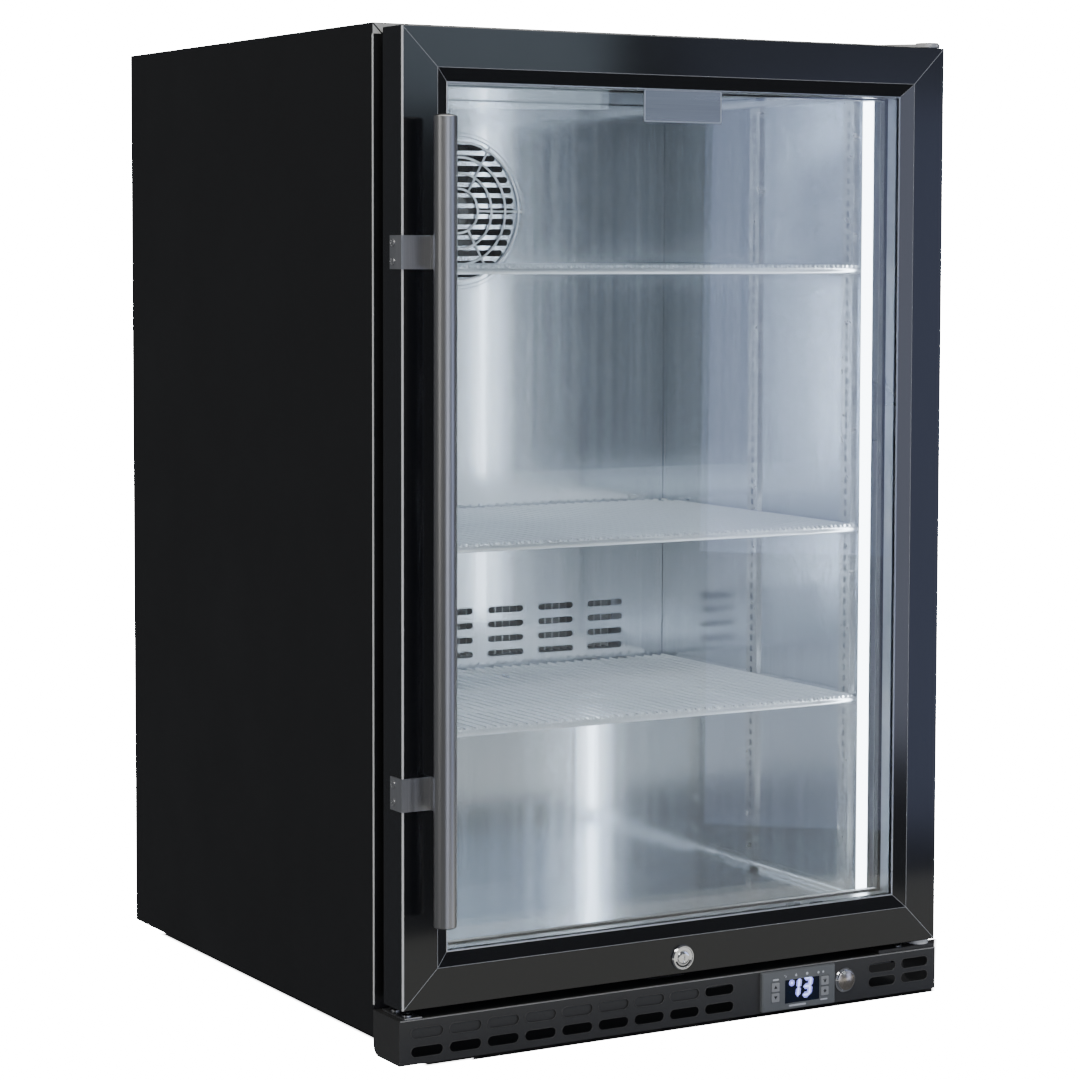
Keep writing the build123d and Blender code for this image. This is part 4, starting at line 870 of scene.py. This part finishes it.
def makeFanGuard():
    # wire rings and spokes over the opening in the cover, inside a flat trim ring
    g = fanGuard
    coverLow, _ = boxOf("evaporator_cover")
    fan = middleOf("evaporator_fan_rotor")
    centre = np.array([fan[0], coverLow[1] - g["stand"], fan[2]])
    a = np.linspace(0, 2 * np.pi, 8, endpoint=False)
    grids = []
    for radius in g["rings"]:
        profile = np.stack([radius + g["wire"] * np.cos(a), g["wire"] * np.sin(a)], -1)
        grids.append(turned(np.concatenate([profile, profile[:1]]), centre, (0, -1, 0), 72))
    for k in range(g["spokes"]):
        way = np.array([math.cos(k * math.pi / 3), 0, math.sin(k * math.pi / 3)])
        start, end = centre + way * g["rings"][0], centre + way * g["trimInner"] + [0, g["stand"], 0]
        grids.append(rodAlong(start, end, g["wire"], g["wire"]))
    addPiece("fanGuard", *joinGrids(grids), "cabinet", "shelfWire", "liner_steel")
    ri, ro = g["trimInner"], g["trimOuter"]
    profile = [(ri, 0), (ri, 0.0008), (ri + 0.0005, 0.0013), (ro - 0.0007, 0.0013), (ro, 0.0006), (ro, 0),
               (ri, 0)]
    ring = turned(profile, (fan[0], coverLow[1], fan[2]), (0, -1, 0), 72)
    addPiece("fanTrim", *joinGrids([ring]), "cabinet", "linerSteel", "liner_steel")


coverRims = {"pitch": 0.056, "columns": 7, "low": 0.026, "step": 0.014, "rows": 4, "length": 0.0405,
             "width": 0.0065,
             "radius": 0.0005}


def makeCoverRims():
    c = coverRims
    coverLow, _ = boxOf("evaporator_cover")
    loop, normals = obroundLoop(c["length"], c["width"], 7)
    rim, rimFaces = loopSweep(loop, normals, ovalProfile(c["radius"], c["radius"], 6), (0, 0, 0))
    x = (np.arange(c["columns"]) - (c["columns"] - 1) / 2) * c["pitch"]
    z = coverLow[2] + c["low"] + np.arange(c["rows"]) * c["step"]
    xx, zz = np.meshgrid(x, z, indexing="ij")
    places = np.stack([xx, np.full(xx.shape, coverLow[1]), zz], -1)
    addPiece("coverSlotRims", *repeatAt(rim, rimFaces, places), "cabinet", "linerSteel", "liner_steel")


coves = {"radius": 0.009, "skin": 0.0002, "sheet": 0.0008, "inset": 0.001, "gap": 0.0005, "lowerLength": 0.2445}


def makeCoves():
    # a quarter-round fillet along each long corner of the storage space
    c = coves
    low, high = boxOf("inner_liner")
    arc = arcOf(c["radius"], 180, 270, 9, (c["radius"], c["radius"]))
    section = np.concatenate([[(-c["skin"], -c["skin"])], arc[::-1]])
    start = low[1] + c["inset"]
    upper = (high[2] - c["sheet"], -1, boxOf("evaporator_cover")[0][1] - c["gap"])
    lower = (low[2] + c["sheet"], 1, start + c["lowerLength"])
    grids = []
    for x, way in ((low[0] + c["sheet"], 1), (high[0] - c["sheet"], -1)):
        for z, rise, end in (upper, lower):
            grids.append(sweep([(x, start, z), (x, end, z)], (way, 0, 0), (0, 0, rise), section))
    addPiece("linerCoves", *joinGrids(grids), "cabinet", "linerSteel", "liner_steel")


shellSeam = {"housing": 0.07, "proud": 0.0014, "tall": 0.0028, "rise": 0.006}


def makeCompressorDetail():
    # the weld flange round the housing
    middle = middleOf("compressor")
    seam = ovalProfile(shellSeam["proud"], shellSeam["tall"], 10) + [shellSeam["housing"], 0]
    ring = turned(np.concatenate([seam, seam[:1]]), middle + [0, 0, shellSeam["rise"]], (0, 0, 1), 64)
    addPiece("compressorSeam", *joinGrids([ring]), "cabinet", "castBlack", "compressor_black")


ratingPlate = {"wide": 0.045, "tall": 0.028, "corner": 0.003, "thick": 0.0005, "across": 0.11, "rise": 0.14,
               "rimInset": 0.0022, "rim": (0.0005, 0.0001)}


def makeRatingPlate():
    # a blank plate on the back, with a pale border
    low, high = boxOf("rear_panel")
    p = ratingPlate
    loop, normals = roundedLoop(p["wide"], p["tall"], p["corner"])
    centre = np.array([p["across"], high[1], low[2] + p["rise"]])
    addPiece("ratingPlate", *slab(loop, -0.0001, p["thick"], centre), "cabinet", "badgeMetal", "badge_metal",
             smooth=False)
    edge = loop - normals * p["rimInset"]
    rim = loopSweep(edge, normals, ovalProfile(*p["rim"]), centre + [0, p["thick"], 0])
    addPiece("ratingPlateRim", *joinGrids([rim]), "cabinet", "paleRim", "badge_metal")


bracketEdge = {"radius": 0.00055, "across": 0.0278, "front": 0.0013, "middle": 0.0135, "reach": 0.0132}


def makeBracketEdges():
    # a pale rod at the forward bend of each handle bracket: a painted highlight
    b = bracketEdge
    low, high = boxOf("handle_brackets")
    x, y = low[0] + b["across"], door["front"] - b["front"]
    grids = [rodAlong((x, y, z - b["reach"]), (x, y, z + b["reach"]), b["radius"], b["radius"])
             for z in (low[2] + b["middle"], high[2] - b["middle"])]
    addPiece("bracketEdges", *joinGrids(grids), "door", "wornEdge", "hardware_steel")


hingeDots = {"radius": 0.0013, "flat": 0.7, "spots": (-0.0036, 0.0024), "sink": 0.0004, "curve": 0.12,
             "drop": 0.0027}


def makeHingeDots():
    # two small domed rivets in the front of the hinge arm, in the pale painted-highlight finish
    d = hingeDots
    t = np.linspace(0, np.pi, 9)
    profile = np.stack([np.sin(t), np.cos(t) * d["flat"]], -1) * d["radius"]
    pin, y, z = middleOf("hinge_bushes"), hingeLow[1] + d["sink"], hingeHigh[2] - d["drop"]
    grids = [turned(profile, (pin[0] + x, y + abs(x) * d["curve"], z), (0, -1, 0), 20) for x in d["spots"]]
    addPiece("hingeRivets", *joinGrids(grids), "cabinet", "wornEdge", "hardware_steel")


makeFrameLines()
makeShellTrim()
makePlinthLines()
makeDisplay()
makeBezelSigns()
makeKeySigns()
print(stageWords, "frame lines, plinth and controller")
makeLock()
makeLightButton()
makeBadgeRim()
makeScrewFaces()
makeHandleEnds()
makeBracketEdges()
makeHingeDots()
makeGasket()
print(stageWords, "door furniture and gasket")
makeShelfTips()
makeFanGuard()
makeCoverRims()
makeCoves()
makeCompressorDetail()
makeRatingPlate()
print(stageWords, "inside and back")


# the last four entries shape the painted shadow under the cabinet and towards its back right
floorSize = {"half": 6.0, "glow": 26.0, "tints": ((0.78, 0.78, 0.78), (0.82, 0.82, 0.82)),
             "across": ((3.906, 0, 0), -0.047), "along": ((0, 3.571, 0), -0.107),
             "slanted": ((4.153, -3.256, 0), -0.9585), "shallow": ((0, 11.76, 0), 1.941)}


def floorMeasure(tree, place, line, shift):
    # size of (place . line + shift), one at the edge
    dot = addNode(tree, "ShaderNodeVectorMath", operation="DOT_PRODUCT")
    dot.inputs[1].default_value = line
    tree.links.new(place, dot.inputs[0])
    moved = addNode(tree, "ShaderNodeMath", operation="ADD")
    moved.inputs[1].default_value = shift
    link(tree, dot, "Value", moved, 0)
    size = addNode(tree, "ShaderNodeMath", operation="ABSOLUTE")
    link(tree, moved, "Value", size, 0)
    return size.outputs["Value"]


def makeFloor():
    # one sheet that runs up into the backdrop: height = rise * smooth step of the distance behind
    u = np.linspace(-floorSize["half"], floorSize["half"], 25)
    v = np.linspace(-floorSize["half"], floorSize["half"], 41)
    x, y = np.meshgrid(u, v, indexing="ij")
    t = np.clip((y - 2.2) / 2.6, 0, 1)
    z = 3.2 * t * t * (3 - 2 * t) * t
    mesh = bpy.data.meshes.new("paleFloor")
    mesh.from_pydata(np.stack([x, y, z], -1).reshape(-1, 3).tolist(), [], gridFaces(25, 41)[:, ::-1].tolist())
    mesh.polygons.foreach_set("use_smooth", np.full(len(mesh.polygons), True))
    floor = bpy.data.objects.new("paleFloor", mesh)
    bpy.context.scene.collection.objects.link(floor)
    mat, tree, shader = startMaterial("floorPaint", (0.8, 0.8, 0.8), 0.9)
    grain = addNode(tree, "ShaderNodeGroup", node_tree=fineGrain)
    grain.inputs["Scale"].default_value = 40.0
    dark, light = floorSize["tints"]
    tintBetween(tree, grain.outputs["Patches"], dark, light, shader.inputs["Base Color"])
    # painted shadow: dark only under the cabinet and its plinth vents, by the smaller of two widest-side
    # distances
    place = addNode(tree, "ShaderNodeTexCoord").outputs["Object"]
    near = addNode(tree, "ShaderNodeMath", operation="MINIMUM")
    for n, pair in enumerate((("across", "along"), ("slanted", "shallow"))):
        widest = addNode(tree, "ShaderNodeMath", operation="MAXIMUM")
        for m, name in enumerate(pair):
            tree.links.new(floorMeasure(tree, place, *floorSize[name]), widest.inputs[m])
        tree.links.new(widest.outputs["Value"], near.inputs[n])
    clear = addNode(tree, "ShaderNodeMapRange")
    clear.inputs["From Min"].default_value = 0.975
    clear.inputs["From Max"].default_value = 1.0
    link(tree, near, "Value", clear, "Value")
    # painted shadow: a near-black base colour inside it
    shade = addNode(tree, "ShaderNodeMix", data_type="RGBA")
    shade.inputs["A"].default_value = (0.02, 0.02, 0.02, 1)
    link(tree, clear, "Result", shade, "Factor")
    tree.links.new(shader.inputs["Base Color"].links[0].from_socket, shade.inputs["B"])
    link(tree, shade, "Result", shader, "Base Color")
    # the camera's even glow is left out inside the painted shadow
    path = addNode(tree, "ShaderNodeLightPath")
    lit = addNode(tree, "ShaderNodeMath", operation="MULTIPLY")
    link(tree, path, "Is Camera Ray", lit, 0)
    link(tree, clear, "Result", lit, 1)
    bright = addNode(tree, "ShaderNodeMath", operation="MULTIPLY")
    bright.inputs[1].default_value = floorSize["glow"]
    link(tree, lit, "Value", bright, 0)
    shader.inputs["Emission Color"].default_value = (1, 1, 1, 1)
    link(tree, bright, "Value", shader, "Emission Strength")
    mesh.materials.append(mat)
    floor.visible_glossy = False


def makeWorld():
    # pale to the camera, a dim even room to everything else
    world = bpy.data.worlds.new("softRoom")
    world.use_nodes = True
    bpy.context.scene.world = world
    tree = world.node_tree
    back = tree.nodes["Background"]
    path = addNode(tree, "ShaderNodeLightPath")
    mix = addNode(tree, "ShaderNodeMix", data_type="RGBA")
    mix.inputs["A"].default_value = (0.13, 0.135, 0.145, 1)
    mix.inputs["B"].default_value = (28, 28, 28, 1)
    link(tree, path, "Is Camera Ray", mix, "Factor")
    link(tree, mix, "Result", back, "Color")


# place, aim, width and height, power, tint
softLights = {
    "frontKey": ((-1.5, -2.6, 2.7), (0, 0, 0.5), (1.6, 1.0), 38, (1, 0.98, 0.95)),
    "frontLeft": ((-0.42, -2.75, 0.45), (0.24, -0.3, 0.5), (0.8, 1.3), 10, (0.7, 0.76, 1)),
    "rightPanel": ((2.85, -3.2, 0.2), (0, 0, 0.4), (1.5, 1.6), 11, (0.52, 0.61, 1)),
    "topLeft": ((1.3, -3.2, 1.215), (0, 0, 0.7), (0.75, 0.57), 2.7, (0.68, 0.84, 1)),
    "topRight": ((2.75, -3.2, 1.3), (0, 0, 0.7), (1.5, 0.6), 1.6, (0.6, 0.7, 1)),
    "overhead": ((0.2, 0.1, 3.2), (0, 0, 0.4), (2.2, 2.2), 42, (1, 1, 1)),
    "leftEdge": ((-2.6, -0.5, 1.2), (-0.2, -0.2, 0.45), (0.5, 2.0), 6, (1, 1, 1)),
    "lowFront": ((0.15, -0.52, 0.004), (0.15, -0.52, 1), (0.9, 0.3), 0.62, (1, 0.99, 0.9)),
}


def makeLights():
    for name, (place, aim, size, power, tint) in softLights.items():
        data = bpy.data.lights.new(name, "AREA")
        data.shape = "RECTANGLE"
        data.size, data.size_y = size
        data.energy = power
        data.color = tint
        lamp = bpy.data.objects.new(name, data)
        bpy.context.scene.collection.objects.link(lamp)
        turn = (Vector(aim) - Vector(place)).to_track_quat("-Z", "Y").to_matrix().to_4x4()
        lamp.visible_camera = False
        lamp.matrix_world = Matrix.Translation(place) @ turn


cameraFacts = {"place": (-1.382, -2.4006, 0.662), "turn": -30.06, "down": 3.89, "roll": 0.14, "lens": 101.37,
               "shiftY": -0.0759}


def makeCamera():
    a, e, r = (math.radians(cameraFacts[k]) for k in ("turn", "down", "roll"))
    forward = Vector((-math.sin(a) * math.cos(e), math.cos(a) * math.cos(e), -math.sin(e)))
    flat = Vector((math.cos(a), math.sin(a), 0))
    high = flat.cross(forward)
    right = math.cos(r) * flat + math.sin(r) * high
    up = -math.sin(r) * flat + math.cos(r) * high
    data = bpy.data.cameras.new("studioCamera")
    data.lens = cameraFacts["lens"]
    data.sensor_width = 36.0
    data.shift_y = cameraFacts["shiftY"]
    camera = bpy.data.objects.new("studioCamera", data)
    turn = Matrix((right, up, -forward)).transposed().to_4x4()
    camera.matrix_world = Matrix.Translation(cameraFacts["place"]) @ turn
    bpy.context.scene.collection.objects.link(camera)
    bpy.context.scene.camera = camera


makeFloor()
makeWorld()
makeLights()
makeCamera()
print(stageWords, "stage, lights and camera")
